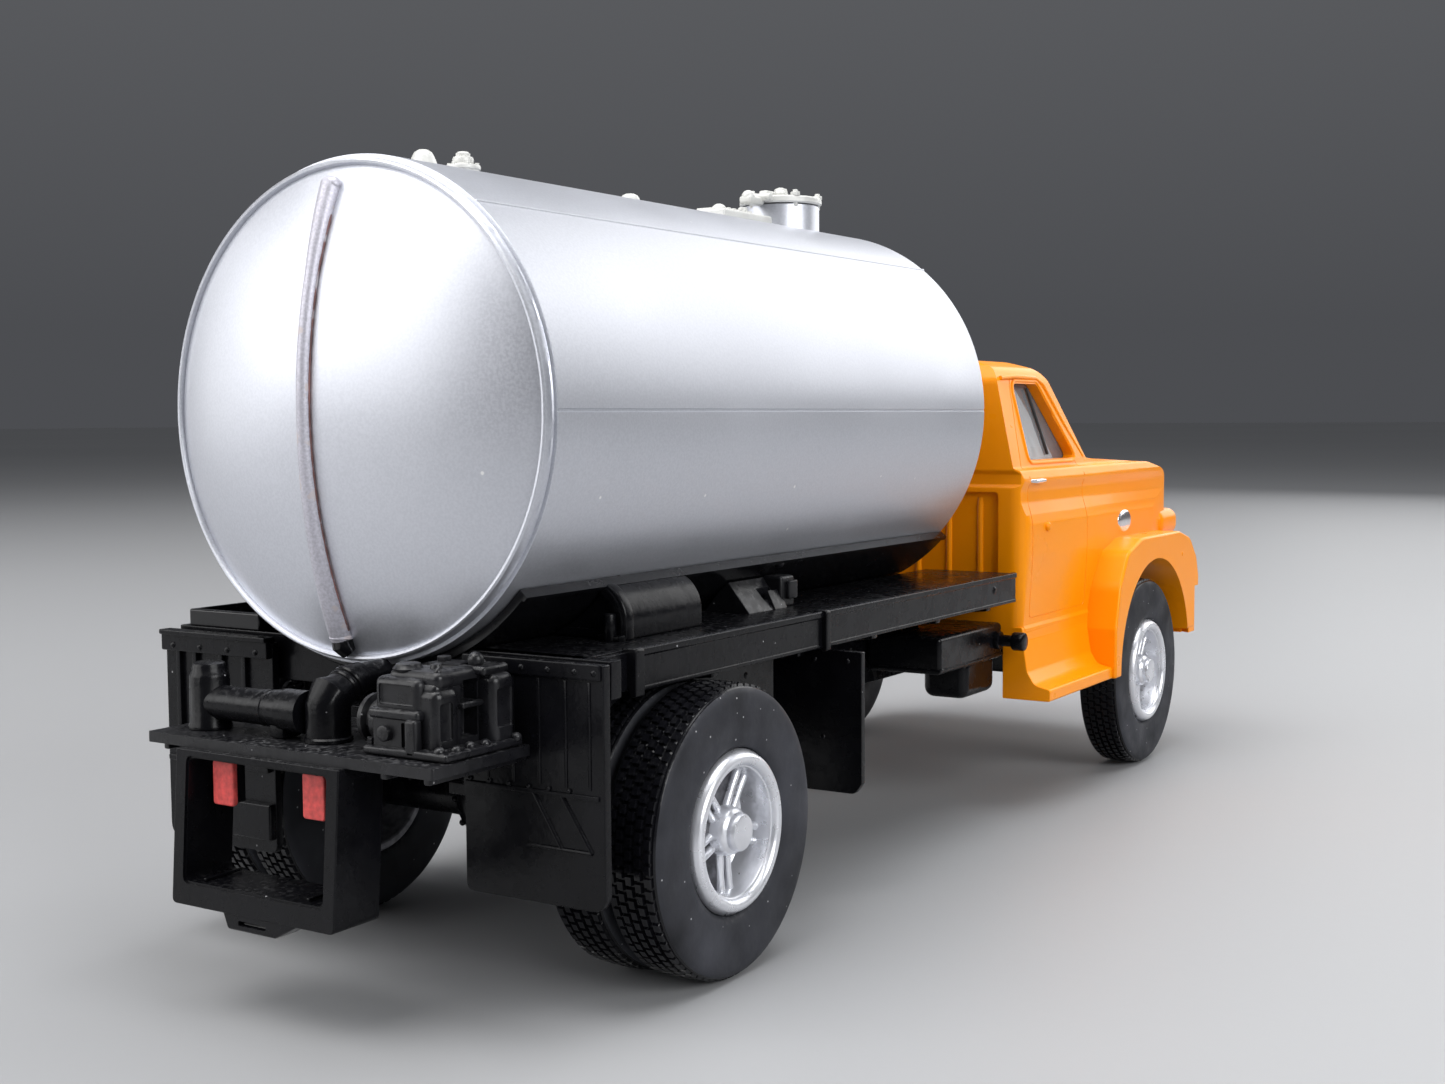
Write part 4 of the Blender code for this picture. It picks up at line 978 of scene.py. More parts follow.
def make_heads():
    dish = [(r, head_depth(r)) for r in [LIP_R * k / 24 for k in range(25)]]
    rim = [
        (13.14, 0.48), (13.2, 0.55), (13.32, 0.57), (13.42, 0.5), (13.45, 0.38), (13.45, 0.02),
        (13.5, -0.06), (13.5, -0.5), (12.6, -0.5), (12.6, -0.2), (9.0, 1.0), (0.0, 1.8),
    ]
    for name, rim_x, direction in (("rear_head", TANK_REAR, BACK), ("front_head", TANK_FRONT, AHEAD)):
        cover(name, lathe(dish + rim, (rim_x, 0, TANK_Z), direction, 180), "silver")


def make_sight_tube():
    """The bent tube down the rear head, its end fittings, a painted shadow beside it and its foot."""
    route, radii = [], []
    top, bottom, count = 43.5, 19.35, 60
    for i in range(count + 1):
        z = top + (bottom - top) * i / count
        share = i / count
        route.append((TANK_REAR - head_depth(abs(z - TANK_Z)) - 0.14, TUBE_Y, z))
        radii.append(0.38 + 0.2 * max(0.0, 1 - share / 0.2) + 0.26 * max(0.0, (share - 0.5) / 0.5) ** 1.4)
    x_top, x_low = route[0][0], route[-1][0]
    fittings = [
        ball((x_top - 0.05, TUBE_Y, top + 0.02), 0.62, (0.8, 1.0, 0.75)),
        ball((x_top - 0.38, TUBE_Y, top - 0.1), 0.26, (0.8, 1.2, 0.6)),
        rod((x_top + 0.5, TUBE_Y, top), (x_top - 0.5, TUBE_Y, top), 0.4, sides=24, bevel=0.1),
        ball((x_low - 0.2, TUBE_Y, bottom + 1.0), 0.5, (0.7, 1.0, 0.5)),
        lathe(
            [(0, 0), (0.62, 0), (0.68, 0.06), (0.67, 0.18), (0.6, 0.26), (0, 0.26)],
            (x_low - 0.02, TUBE_Y, bottom - 0.1), UP, 32,
        ),
    ]
    fittings += [ball((x, y + 0.34, z), 0.13, (0.8, 1.3, 1.6), 12) for x, y, z in route[38:46:2]]
    cover("sight_tube", merge(sweep(route, radii, 22), *fittings), "tube")
    # A painted shadow of the tube: a thin reddish-brown line along its right side, on the head.
    line = [(x + 0.06, y - r * 0.93, z) for (x, y, z), r in zip(route, radii)][4:-1]
    piece(
        "sight_tube_painted_shadow_line",
        sweep(line, [0.06 + 0.025 * math.sin(1.9 * i) ** 2 for i in range(len(line))], 8), "painted_tube_shadow",
    )
    bend = ((0, 0, 0.1), (0.04, -0.05, -0.45), (0.3, -0.2, -0.85))
    foot = sweep([(x_low + dx, TUBE_Y + dy, bottom + dz) for dx, dy, dz in bend], [0.6, 0.62, 0.45], 24)
    piece("sight_tube_foot", foot, "gloss")


def make_vents():
    cone = [
        (0, 1.0), (0.28, 0.96), (0.5, 0.82), (0.62, 0.6), (0.74, 0.3),
        (0.8, 0.12), (1.0, 0.1), (1.05, 0.0), (1.05, -0.25), (0, -0.25),
    ]
    cover("dome_vent", lathe(cone, (-38.8, 0, SEAT_Z), UP, 40), "white")

    x = -35.4
    valve = [
        (0, 1.28), (0.3, 1.26), (0.42, 1.16), (0.42, 1.0), (0.56, 0.96), (0.62, 0.84), (0.6, 0.6),
        (0.72, 0.52), (0.98, 0.48), (1.02, 0.4), (1.02, 0.26), (0.92, 0.2), (0.92, -0.25), (0, -0.25),
    ]
    ring = [(x + 0.8 * math.cos(t), 0.8 * math.sin(t)) for t in turns(6)]
    bolts = [post(*at, SEAT_Z + 0.4, SEAT_Z + 0.62, 0.15, sides=6, bevel=0.02) for at in ring]
    cover("relief_valve", merge(lathe(valve, (x, 0, SEAT_Z), UP, 40), *bolts), "white")

    small = [
        (0, 0.64), (0.3, 0.6), (0.5, 0.5), (0.62, 0.34), (0.66, 0.16),
        (0.88, 0.12), (0.9, 0.02), (0.9, -0.25), (0, -0.25),
    ]
    cover("small_vent", lathe(small, (-18.7, 0, SEAT_Z), UP, 36), "white")


def make_step_plate():
    studs = [(-8.9 + 0.72 * k, -8.6 + 0.72 * k) for k in range(6)]
    forms = [
        block((-9.2, -1.4, 44.95), (-2.6, 1.4, 45.75), 0.16, 3),
        *[block((x0, -1.15, 45.6), (x1, 1.15, 45.9), 0.06) for x0, x1 in studs],
        ball((-7.4, 0.2, 45.7), 0.62),
        post(-5.3, -0.5, 45.3, 46.2, 0.42, 0.34, 20, 0.1),
    ]
    cover("step_plate", merge(*forms), "white")


def make_manhole():
    x = 1.0
    collar = [
        (0, 2.5), (2.7, 2.5), (2.86, 2.45), (2.9, 2.3), (2.9, 0.62), (2.96, 0.45), (3.1, 0.3),
        (3.16, 0.1), (3.16, -1.0), (0, -1.0),
    ]
    forms = [lathe(collar, (x, 0, 44.35), UP, 72)]
    forms += [
        rivet((x + 3.02 * math.cos(t), 3.02 * math.sin(t), 44.7), UP, 0.16, 0.14)
        for t in turns(16)
    ]
    cover("manhole_collar", merge(*forms), "silver")

    z = 46.9
    lid = [
        (0, 0.72), (1.0, 0.68), (1.9, 0.55), (2.05, 0.42), (2.5, 0.40), (2.62, 0.52), (2.98, 0.52),
        (3.08, 0.42), (3.1, 0.1), (3.0, 0.0), (0, 0.0),
    ]
    forms = [
        lathe(lid, (x, 0, z), UP, 72),
        block((x - 3.6, -0.85, z + 0.02), (x - 2.5, 0.85, z + 0.62), 0.14, 3),
        crossbar(x - 3.35, z + 0.35, -1.15, 1.15, 0.28, sides=20),
        block((x - 2.6, -0.36, z + 0.4), (x + 3.3, 0.36, z + 0.95), 0.12, 3),
        post(x, 0, z + 0.6, z + 1.32, 0.62, 0.5, 6, 0.06),
        post(x, 0, z + 1.2, z + 1.4, 0.26, sides=16),
        block((x - 5.2, -0.5, z - 0.25), (x - 3.2, 0.5, z + 0.3), 0.16, 3),
        ball((x - 4.7, 0.0, z + 0.25), 0.5),
        block((x + 2.9, -0.5, z - 0.9), (x + 3.5, 0.5, z + 0.7), 0.14, 3),
        ball((x + 1.9, 0.75, z + 0.75), 0.42, (1, 1, 0.8)),
        ball((x - 1.6, -0.9, z + 0.72), 0.4, (1, 1, 0.8)),
    ]
    for t in turns(5):
        at = (x + 2.78 * math.cos(t + 0.3), 2.78 * math.sin(t + 0.3))
        forms.append(post(*at, z - 0.3, z + 0.95, 0.2, sides=12))
        forms.append(post(*at, z + 0.5, z + 0.78, 0.36, sides=6, bevel=0.03))
    cover("manhole_lid", merge(*forms), "white")


# ---------------------------------------------------------------- platform, pump and guard


def make_platform():
    low = PLATFORM_UNDER
    x0, x1, y0, y1 = PLATFORM_REAR, PLATFORM_FRONT, PLATFORM_RIGHT, PLATFORM_LEFT
    outline = rounded([(x0, y0, 0.35), (x1, y0, 0.2), (x1, y1, 0.2), (x0, y1, 0.35)])
    upper = prism(outline, "Z", PLATFORM_TOP - 0.24, PLATFORM_TOP + 0.2, 0.07)
    lower = prism(inset(outline, 0.14), "Z", low, PLATFORM_TOP - 0.14, 0.09)
    well = prism(inset(outline, 0.3), "Z", PLATFORM_TOP + 0.02, PLATFORM_TOP + 1, 0.05)
    tongue = block((x1 - 1, -4.6, low), (FRAME_REAR, 4.6, PLATFORM_TOP - 0.05), 0.08)
    forms = [cut(upper, well), lower, tongue]
    forms += [
        block((x0 + 0.4, y - 0.2, low - 0.35), (x1 + 0.2, y + 0.2, low + 0.1), 0.08)
        for y in (-11.0, -8.2, 7.4)
    ]
    cover("pump_platform", merge(*forms), "cast")


def make_pump():
    body = [
        block((-50.0, -10.2, PUMP_SEAT), (-45.3, -6.3, 18.2), 0.35, 4),
        block((-50.35, -9.4, 16.5), (-48.0, -6.4, 18.4), 0.4, 5),
        block((-50.45, -9.3, PUMP_SEAT), (-48.2, -6.3, 16.6), 0.22, 3),
        block((-50.6, -9.5, 16.3), (-48.2, -6.2, 16.85), 0.2, 4),
        block((-50.15, -10.4, PUMP_SEAT), (-48.35, -8.7, 17.9), 0.5, 5),
        block((-46.85, -11.25, PUMP_SEAT), (-45.1, -8.0, 18.35), 0.5, 5),
        block((-49.9, -10.3, 17.8), (-45.4, -6.9, 18.75), 0.4, 5),
        block((-50.8, -9.5, PUMP_SEAT), (-50.2, -8.75, 16.45), 0.2, 4),
        block((-50.8, -11.5, PUMP_SEAT), (-44.9, -6.0, PUMP_SEAT + 0.42), 0.14, 3),
    ]
    hollows = [
        block((-50.6, -9.0, 17.0), (-50.2, -6.75, 18.05), 0.12),
        block((-50.9, -8.75, 14.95), (-50.25, -8.3, 16.2), 0.08),
        block((-48.2, -11.0, 15.2), (-46.95, -9.3, 18.15), 0.12),
        block((-49.9, -10.9, 15.3), (-49.0, -10.25, 17.2), 0.14),
        block((-46.6, -11.6, 15.6), (-45.4, -11.12, 17.6), 0.14),
        block((-48.15, -9.4, 18.55), (-47.3, -7.2, 19.4), 0.1),
    ]
    strainer = [
        (0, 0), (1.15, 0), (1.28, 0.1), (1.28, 0.35), (1.0, 0.5),
        (1.0, 0.75), (1.28, 0.9), (1.28, 1.2), (1.1, 1.4), (0, 1.4),
    ]
    forms = [
        cut(combine(body[0], "UNION", *body[1:]), *hollows),
        block((-48.4, -10.55, 16.75), (-46.75, -9.2, 17.05), 0.1, 3),
        block((-47.2, -10.9, 18.25), (-45.2, -8.9, 18.75), 0.2, 4),
        ball((-46.7, -9.95, 18.95), 0.42, (1, 1, 1.1)),
        post(-49.2, -7.7, 18.6, 19.0, 0.78, 0.66, 32, 0.14),
        post(-48.7, -9.1, 18.6, 18.98, 0.34, 0.28, 20, 0.1),
        post(-46.4, -7.6, 18.6, 19.0, 0.4, sides=6, bevel=0.05),
        lathe(strainer, (-48.9, -4.95, 15.95), (0, -1, 0), 48),
        crossbar(-48.9, 15.95, -4.7, -5.1, 0.42, sides=24),
        rod((-50.75, -7.3, 15.6), (-50.4, -7.3, 15.6), 0.4, sides=24),
    ]
    forms += [
        post(x, -6.15, PUMP_SEAT + 0.3, PUMP_SEAT + 0.75, 0.24, sides=6, bevel=0.03)
        for x in (-50.3, -45.5)
    ]
    nuts = ((-50.4, -10.7), (-49.6, -11.1), (-48.4, -10.95), (-47.5, -11.15), (-45.3, -11.35))
    forms += [ball((x, y, PUMP_SEAT + 0.42), 0.3, (1, 1, 0.9), 16) for x, y in nuts]
    lid_rivets = ((-49.5, -9.9), (-48.4, -7.2), (-45.8, -9.6), (-45.8, -7.2))
    forms += [rivet((x, y, 18.72), UP, 0.2, 0.2) for x, y in lid_rivets]
    cover("pump_unit", merge(*forms), "cast")


def make_filler_post():
    x, y, z = -49.5, 6.4, 15.95
    turned = [
        (0, 3.60), (0.70, 3.58), (0.84, 3.5), (0.9, 3.32), (0.93, 3.08), (1.0, 2.98), (1.06, 2.8),
        (1.09, 0.3), (1.16, 0.16), (1.16, 0), (0, 0),
    ]
    forms = [
        lathe(turned, (x, y, PUMP_SEAT), UP, 56),
        ball((x - 0.4, y + 0.4, PUMP_SEAT + 3.4), 0.3, (1, 1, 0.7)),
    ]
    pipe = [
        (0, 0), (0.94, 0), (0.94, 4.3), (0.98, 4.36), (0.98, 4.7), (0.94, 4.76), (0.94, 5.0),
        (1.02, 5.06), (1.05, 5.8), (1.13, 5.9), (1.13, 7.4), (0, 7.4),
    ]
    forms.append(lathe(pipe, (x, y, z), (0, -1, 0), 48))
    forms.append(block((x - 0.7, 0.2, PUMP_SEAT), (x + 0.7, 1.2, z - 0.4), 0.15))
    cover("filler_post", merge(*forms), "black", slot="black_gloss")


def make_suction_elbow():
    x, y = -49.1, -2.0
    start, end = Vector((x, y, 16.55)), Vector((-47.35, -2.1, 17.45))
    aim = (end - start).normalized()
    length = (end - start).length
    elbow = [
        (x, y, PUMP_SEAT), (x, y, 16.5), (x + 0.12, y, 16.85),
        *[tuple(start.lerp(end, s)) for s in (0.25, 0.6, 1.0)],
    ]
    forms = [sweep(elbow, [1.17, 1.17, 1.15, 1.1, 0.96, 0.9], 44)]
    flange = [(0, 0), (1.26, 0), (1.26, 0.16), (1.16, 0.26), (0, 0.26)]
    forms.append(lathe(flange, (x, y, PUMP_SEAT), UP, 48))
    for share in (0.66, 0.86):
        ring = [(0, -0.15), (0.94, -0.15), (1.02, -0.1), (1.05, 0), (1.02, 0.1), (0.94, 0.15), (0, 0.15)]
        forms.append(lathe(ring, start + aim * length * share, aim, 48))
    cover("suction_elbow", merge(*forms), "black", slot="black_gloss")

    coupling = [(0, -0.3), (0.8, -0.3), (0.86, -0.1), (0.86, 0.5), (0.76, 0.65), (0.76, 2.3), (0, 2.3)]
    cover("tank_coupling", lathe(coupling, end, (1, 0, 0.06), 44), "black", slot="black_gloss")


def make_guard():
    top = PLATFORM_UNDER
    rear, left, right, lean = -52.34, 5.87, -5.85, 0.07
    outer = rounded([(right, 5.75, 0.35), (left, 5.75, 0.35), (left, top, 0.1), (right, top, 0.1)])
    inner = rounded([
        (right + 0.9, 7.0, 0.35), (left - 0.9, 7.0, 0.35), (left - 0.9, top - 0.45, 0.3),
        (right + 0.9, top - 0.45, 0.3),
    ])
    frame_form = cut(prism(outer, "X", rear, -49.1, 0.13, 3), prism(inner, "X", rear - 1, -48))
    mouth = prism(inset(inner, -0.12), "X", rear - 1, rear + 0.12)
    lug = prism([(-3.6, 5.95), (-1.7, 4.95), (1.7, 4.95), (2.2, 5.95)], "X", rear + 0.05, -50.6, 0.14, 3)
    slot = block((rear - 0.4, -1.1, 5.25), (rear + 0.35, 0.9, 5.5), 0.08)
    forms = [cut(frame_form, mouth), cut(lug, slot)]
    forms += [block((-51.9, y - 0.1, 7.05), (-49.4, y + 0.1, 7.2), 0.05) for y in (-3.6, 3.9)]
    forms.append(block((-49.9, right + 0.3, top - 0.8), (-49.2, left - 0.3, top - 0.1), 0.1))
    forms.append(block((-51.0, -1.6, top - 0.35), (-50.4, 1.7, top), 0.1))
    guard = merge(*forms)
    for vert in guard.verts:
        vert.co.x -= (top - vert.co.z) * lean
    cover("rear_guard", guard, "black")


def make_tail_lights():
    for label, (a, b) in (("left", (4.05, 2.5)), ("right", (-2.5, -4.05))):
        outline = rounded([(b, 10.95, 0.22), (a, 10.95, 0.22), (a, 13.3, 0.18), (b, 13.3, 0.18)])
        cover(f"tail_light_{label}", prism(outline, "X", -51.55, -51.2, 0.1, 3), "red")
        piece(f"tail_light_{label}_base", prism(inset(outline, 0.12), "X", -51.25, -50.6, 0.05), "black")


def panel(outline, sheet, rim, width, bevel=0.08):
    """A sheet across the truck with a raised rim; sheet and rim are the x they run from and to."""
    hole = prism(inset(outline, width), "X", rim[0] - 1, rim[1] + 1)
    return [prism(outline, "X", *sheet, bevel), cut(prism(outline, "X", *rim, 0.1), hole)]


def flap_outline(inner, outer, top):
    return [(inner, 6.2, 0.5), (outer, 6.2, 0.9), (outer, top, 0.1), (inner, top, 0.1)]


def make_right_flap():
    """A skin with a raised border, rivet rows and a plain embossed brace."""
    rear, y0, y1 = FLAP_REAR, -6.98, -16.1
    skin = rounded(flap_outline(y0, y1, 18.8))[::-1]
    brace = (((-11.6, 12.0), (-13.4, 9.2)), ((-11.2, 9.2), (-15.3, 9.2)), ((-13.4, 12.0), (-15.3, 9.2)))
    upper_rivets, slats = (-7.6, -9.3, -11.0, -12.7, -14.4, -15.6), (-8.6, -10.3, -12.0, -13.7, -15.2)
    forms = [
        *panel(skin, (rear + 0.12, rear + 0.7), (rear + 0.02, rear + 0.4), 0.42),
        block((rear - 0.05, y1 + 0.15, 18.0), (rear + 0.3, y0 - 0.05, 18.85), 0.1),
        *[rivet((rear - 0.05, y, 18.4), BACK, 0.17, 0.1) for y in upper_rivets],
        *[block((rear + 0.06, y - 0.1, 12.4), (rear + 0.3, y + 0.1, 17.9), 0.04) for y in slats],
        block((rear, y1 + 0.3, 11.9), (rear + 0.3, y0 - 0.1, 12.15), 0.06),
        *[rivet((rear + 0.02, -7.4 - 1.3 * k, 12.25), BACK, 0.13, 0.08) for k in range(6)],
        *[sweep([(rear + 0.1, *start), (rear + 0.1, *end)], 0.11, 8) for start, end in brace],
    ]
    cover("mudflap_right", merge(*forms), "black")


def make_left_flap():
    """An open frame look, with a flanged top and deep upright slots."""
    rear, y0, y1 = FLAP_REAR, 7.35, 16.3
    slats = (9.5, 11.4, 13.6, 15.0)
    skin = rounded(flap_outline(y0, y1, 18.4))
    forms = [
        *panel(skin, (rear + 0.3, rear + 0.8), (rear + 0.02, rear + 0.5), 0.6),
        block((rear - 0.12, y0 + 0.05, 17.5), (rear + 0.6, y1 - 0.05, 18.7), 0.1),
        block((rear - 0.28, y0 + 0.05, 18.45), (rear + 0.6, y1 - 0.05, 18.75), 0.08),
        *[rivet((rear - 0.12, y, 17.85), BACK, 0.19, 0.12) for y in (8.3, 10.6, 12.9, 15.2)],
        *[block((rear + 0.04, y - 0.17, 11.2), (rear + 0.5, y + 0.17, 17.6), 0.06) for y in slats],
        block((rear, y0 + 0.3, 10.9), (rear + 0.4, y1 - 0.3, 11.25), 0.08),
        block((rear - 0.14, y0 + 0.06, 7.0), (rear + 0.4, y0 + 3.6, 9.1), 0.14, 3),
    ]
    cover("mudflap_left", merge(*forms), "black")


def make_splash_guards():
    skin = rounded([
        (9.7, 7.1, 0.3), (15.7, 7.1, 0.6), (16.2, 7.8, 0.2), (16.2, 16.24, 0.1), (9.7, 16.3, 0.1),
    ])
    rear, bolts = -16.86, ((10.4, 15.6), (12.8, 15.6), (15.2, 15.6), (13.4, 10.6))
    for label, side in SIDES.items():
        forms = panel(on_side(skin, side), (rear, -16.35), (-16.95, -16.2), 0.32, 0.09)
        forms += [rivet((rear, side * y, z), BACK, 0.18, 0.1) for y, z in bolts]
        cover(f"splash_guard_{label}", merge(*forms), "black")


# ---------------------------------------------------------------- cab


CAB_SIDE = [
    (13.33, 13.2), (50.6, 13.2), (50.6, 23.6), (50.0, 24.9), (48.6, 25.7), (45.0, 26.5), (29.6, 27.3),
    (23.4, 34.3), (22.2, 35.1), (20.0, 35.4), (15.0, 35.4), (13.9, 34.9), (13.33, 33.6),
]
CAB_FRONT = [
    (14.45, 13.2), (14.9, 20.0), (14.65, 23.4), (14.15, 25.6), (13.75, 26.8), (12.2, 34.0), (11.5, 34.9),
    (10.0, 35.5),
]
CAB_PLAN = [(13.33, -14.2), (14.3, -15.2), (31.0, -15.2), (46.0, -14.3), (49.6, -13.5), (50.7, -12.2)]


def cab_solid(side, front, plan):
    """What three outlines have in common: the cab from the side, from the front and from above."""
    from_front, from_above = prism(front, "X", 5, 60), prism(plan, "Z", 0, 45)
    return combine(prism(side, "Y", -19, 19), "INTERSECT", from_front, from_above)


def cab_hollow(amount):
    """The cab's inside, pulled in by amount from plain outlines and open below."""
    outlines = (CAB_SIDE, both_sides(CAB_FRONT), fore_and_aft(CAB_PLAN))
    side, front, plan = (inset(outline, amount) for outline in outlines)
    side, front = ([(u, 9.0 if v < 16 else v) for u, v in outline] for outline in (side, front))
    return cab_solid(side, front, plan)


CAB_HALF = [
    (14.5, 13.2, 0), (14.62, 14.3, 0.2), (14.5, 14.6, 0.2), (14.78, 20.0, 3.0), (14.76, 22.5, 1.2),
    (14.6, 23.3, 1.4), (14.3, 24.3, 1.4), (14.28, 25.2, 1.2), (14.55, 26.0, 0.7), (14.25, 26.75, 0.4),
    (13.72, 26.95, 0.3), (12.3, 33.9, 1.6), (11.7, 34.9, 1.4), (9.6, 35.5, 4.0), (5.0, 35.75, 4.0),
]


def side_y(z):
    """How far the cab's side stands from the middle at a height."""
    half = [p for p in rounded(CAB_HALF, 6) if p[0] > 9]
    for (y0, z0), (y1, z1) in zip(half, half[1:]):
        if z0 <= z <= z1 and z1 > z0:
            return y0 + (y1 - y0) * (z - z0) / (z1 - z0)
    return half[0][0] if z < half[0][1] else half[-1][0]


def cab_body():
    """The cab's outside, with rounded corners and a channel along each side between two creases."""
    side = [
        (13.33, 13.2, 0.2), (50.6, 13.2, 0.3), (50.6, 22.9, 0.5), (49.9, 23.2, 0.3), (49.85, 24.6, 1.4),
        (48.2, 25.95, 2.0), (44.0, 26.75, 6.0), (30.6, 27.35, 0.7), (29.5, 27.45, 0.3),
        (23.7, 34.35, 2.6), (21.0, 35.75, 3.0), (14.6, 35.65, 1.8), (13.33, 33.9, 1.2),
        (13.33, 26.8, 0.3), (13.55, 26.5, 0.2), (13.55, 25.7, 0.2), (13.33, 25.4, 0.3),
    ]
    plan = [
        (13.33, -14.75, 1.3), (30.0, -15.2, 3.0), (44.0, -14.75, 4.0), (49.3, -14.2, 1.6),
        (50.65, -12.4, 2.0),
    ]
    return cab_solid(rounded(side, 7), rounded(both_sides(CAB_HALF), 6), rounded(fore_and_aft(plan), 8))


FENDER = [
    (27.4, 8.8, 0), (45.0, 8.8, 0), (45.0, 11.0, 0), (50.3, 11.0, 0.3), (50.3, 15.8, 1.5),
    (49.6, 17.7, 1.5), (47.6, 19.6, 2.0), (44.5, 20.35, 2.0), (34.0, 20.35, 3.0), (30.4, 19.3, 2.2),
    (28.4, 16.6, 3.0), (27.4, 13.0, 1.0),
]
SIDE_WINDOW = [(16.9, 27.5, 0.7), (27.0, 27.5, 0.5), (21.3, 33.65, 0.7), (16.2, 33.65, 0.8)]
REAR_WINDOW = [(-8.5, 28.3, 0.8), (8.5, 28.3, 0.8), (8.0, 33.0, 0.8), (-8.0, 33.0, 0.8)]
WINDSHIELD = [(-12.1, 28.35, 0.8), (12.1, 28.35, 0.8), (10.9, 33.6, 0.9), (-10.9, 33.6, 0.9)]


def grown(corners, amount):
    """Rounded-corner specs with the outline moved out by amount."""
    moved_out = inset([(u, v) for u, v, r in corners], -amount)
    return rounded([(u, v, r + amount) for (u, v), (_, _, r) in zip(moved_out, corners)], 6)


def fender_and_step(side):
    """The flared front fender and the sill below the door, on one side."""
    flare = soften(prism(rounded(FENDER, 6), "Y", *sorted((side * 12.0, side * FENDER_Y))), 1.5, 6, 40)
    step = [
        (12.9, 8.8, 0), (16.9, 8.8, 0.2), (16.9, 9.75, 0.25), (15.6, 10.05, 0.8),
        (15.0, 11.0, 1.0), (14.62, 13.4, 1.0), (14.55, 14.5, 0.2), (12.9, 14.5, 0),
    ]
    return [flare, prism(on_side(rounded(step, 6), side), "X", CAB_REAR, 29.2, 0.1)]


def upright_box(half_width, low, high):
    """The rounded outline of an opening in the cab's front or back."""
    corners = ((-half_width, low), (half_width, low), (half_width, high), (-half_width, high))
    return rounded([(u, v, 0.4) for u, v in corners])


def door_groove(side):
    door = rounded([
        (14.75, 15.1, 0.5), (26.9, 15.1, 0.6), (26.9, 27.1, 0.3),
        (21.4, 34.0, 0.6), (15.7, 34.0, 0.7), (14.95, 27.0, 0.4),
    ], 5)
    return loop([(x, side * side_y(z), z) for x, z in fine(door)], 0.065, 6)


def hollowed_cab():
    """The cab with its inside, arches, windows, door lines and room for the grille and frame cut out."""
    body = combine(cab_body(), "UNION", *fender_and_step(-1), *fender_and_step(1))
    arch = {"sides": 96, "bevel": 0}
    body = cut(
        body,
        cab_hollow(0.8),
        *[crossbar(ARCH_X, ARCH_Z, s * 10.5, s * 20, ARCH_R, **arch) for s in (-1, 1)],
        prism(rounded(SIDE_WINDOW, 6), "Y", -20, 20),
        prism(rounded(WINDSHIELD, 6), "X", 20.5, 33),
        prism(rounded(REAR_WINDOW, 6), "X", 11, 15.5),
        block((12, -FRAME_Y - 0.2, 5), (15, FRAME_Y + 0.2, FRAME_TOP + 0.1), 0),
        prism(upright_box(11.4, 15.6, 22.4), "X", NOSE_X - 2, NOSE_X + 2),
        block((48.9, -20, 9), (55, 20, 14.9), 0),
    )
    rear_recess = prism(upright_box(12.5, 16.0, 25.1), "X", 12, CAB_REAR + 0.38)
    return cut(body, rear_recess, door_groove(-1), door_groove(1))


def cab_side_trim(side):
    """The window's frame, the knob, the gutter, the sill's tread bars and a rivet, on one side."""
    frame_path = [(x, side * (side_y(z) - 0.02), z) for x, z in fine(grown(SIDE_WINDOW, 0.22))]
    knob = (17.9, side * (side_y(22.2) - 0.05), 22.2)
    gutter = [
        (14.0, 12.32, 34.05), (17.0, 12.3, 34.2), (21.2, 12.25, 34.15),
        (22.6, 12.35, 33.7), (25.6, 12.95, 30.6), (28.9, 13.5, 27.6),
    ]
    treads = [(x, x + 0.25) for x in (15.0, 17.0, 19.0, 21.0, 23.0, 25.0)]
    return [
        loop(frame_path, 0.15, 10),
        lathe([(0, 0.36), (0.22, 0.33), (0.36, 0.2), (0.4, 0), (0, 0)], knob, (0, side, 0), 28),
        sweep([(x, side * y, z) for x, y, z in gutter], 0.17, 10),
        *[block((x0, side * 15.3, 9.72), (x1, side * 16.7, 9.84), 0.03) for x0, x1 in treads],
        rivet((45.2, side * 17.2, 18.2), (0, side, 0), 0.28, 0.12),
    ]


def rear_rib(y):
    """One upright rib of the cab's back wall."""
    route = ((0.6, 16.6), (0.5, 17.4), (0.5, 24.0), (0.6, 24.6))
    return sweep([(CAB_REAR + depth, y, z) for depth, z in route], 0.3, 12)


def make_cab():
    hood = [(31.5, 26.9), (45.0, 26.3), (46.6, 26.3), (45.0, 26.85), (40.0, 27.1), (31.8, 27.46)]
    rear_rim, front_rim = (fine(grown(window, 0.2)) for window in (REAR_WINDOW, WINDSHIELD))
    forms = [
        hollowed_cab(),
        *cab_side_trim(-1),
        *cab_side_trim(1),
        *[rear_rib(-10.8 + 2.7 * k) for k in range(9)],
        loop([(CAB_REAR + 0.02, y, z) for y, z in rear_rim], 0.14, 10),
        loop([(29.55 - (z - 27.45) * 0.855, y, z) for y, z in front_rim], 0.14, 10),
        prism(hood, "Y", -6.2, 6.2, 0.1, 3),
        *[block((29.75, y - 0.9, 27.2), (30.5, y + 0.9, 27.5), 0.05) for y in (-9.0, -6.0, 6.0, 9.0)],
        *[block((46.3, s * 11.9, 19.6), (51.7, s * 14.8, 22.15), 1.0, 5) for s in SIDES.values()],
    ]
    cover("cab_shell", merge(*forms), "orange", angle=28)


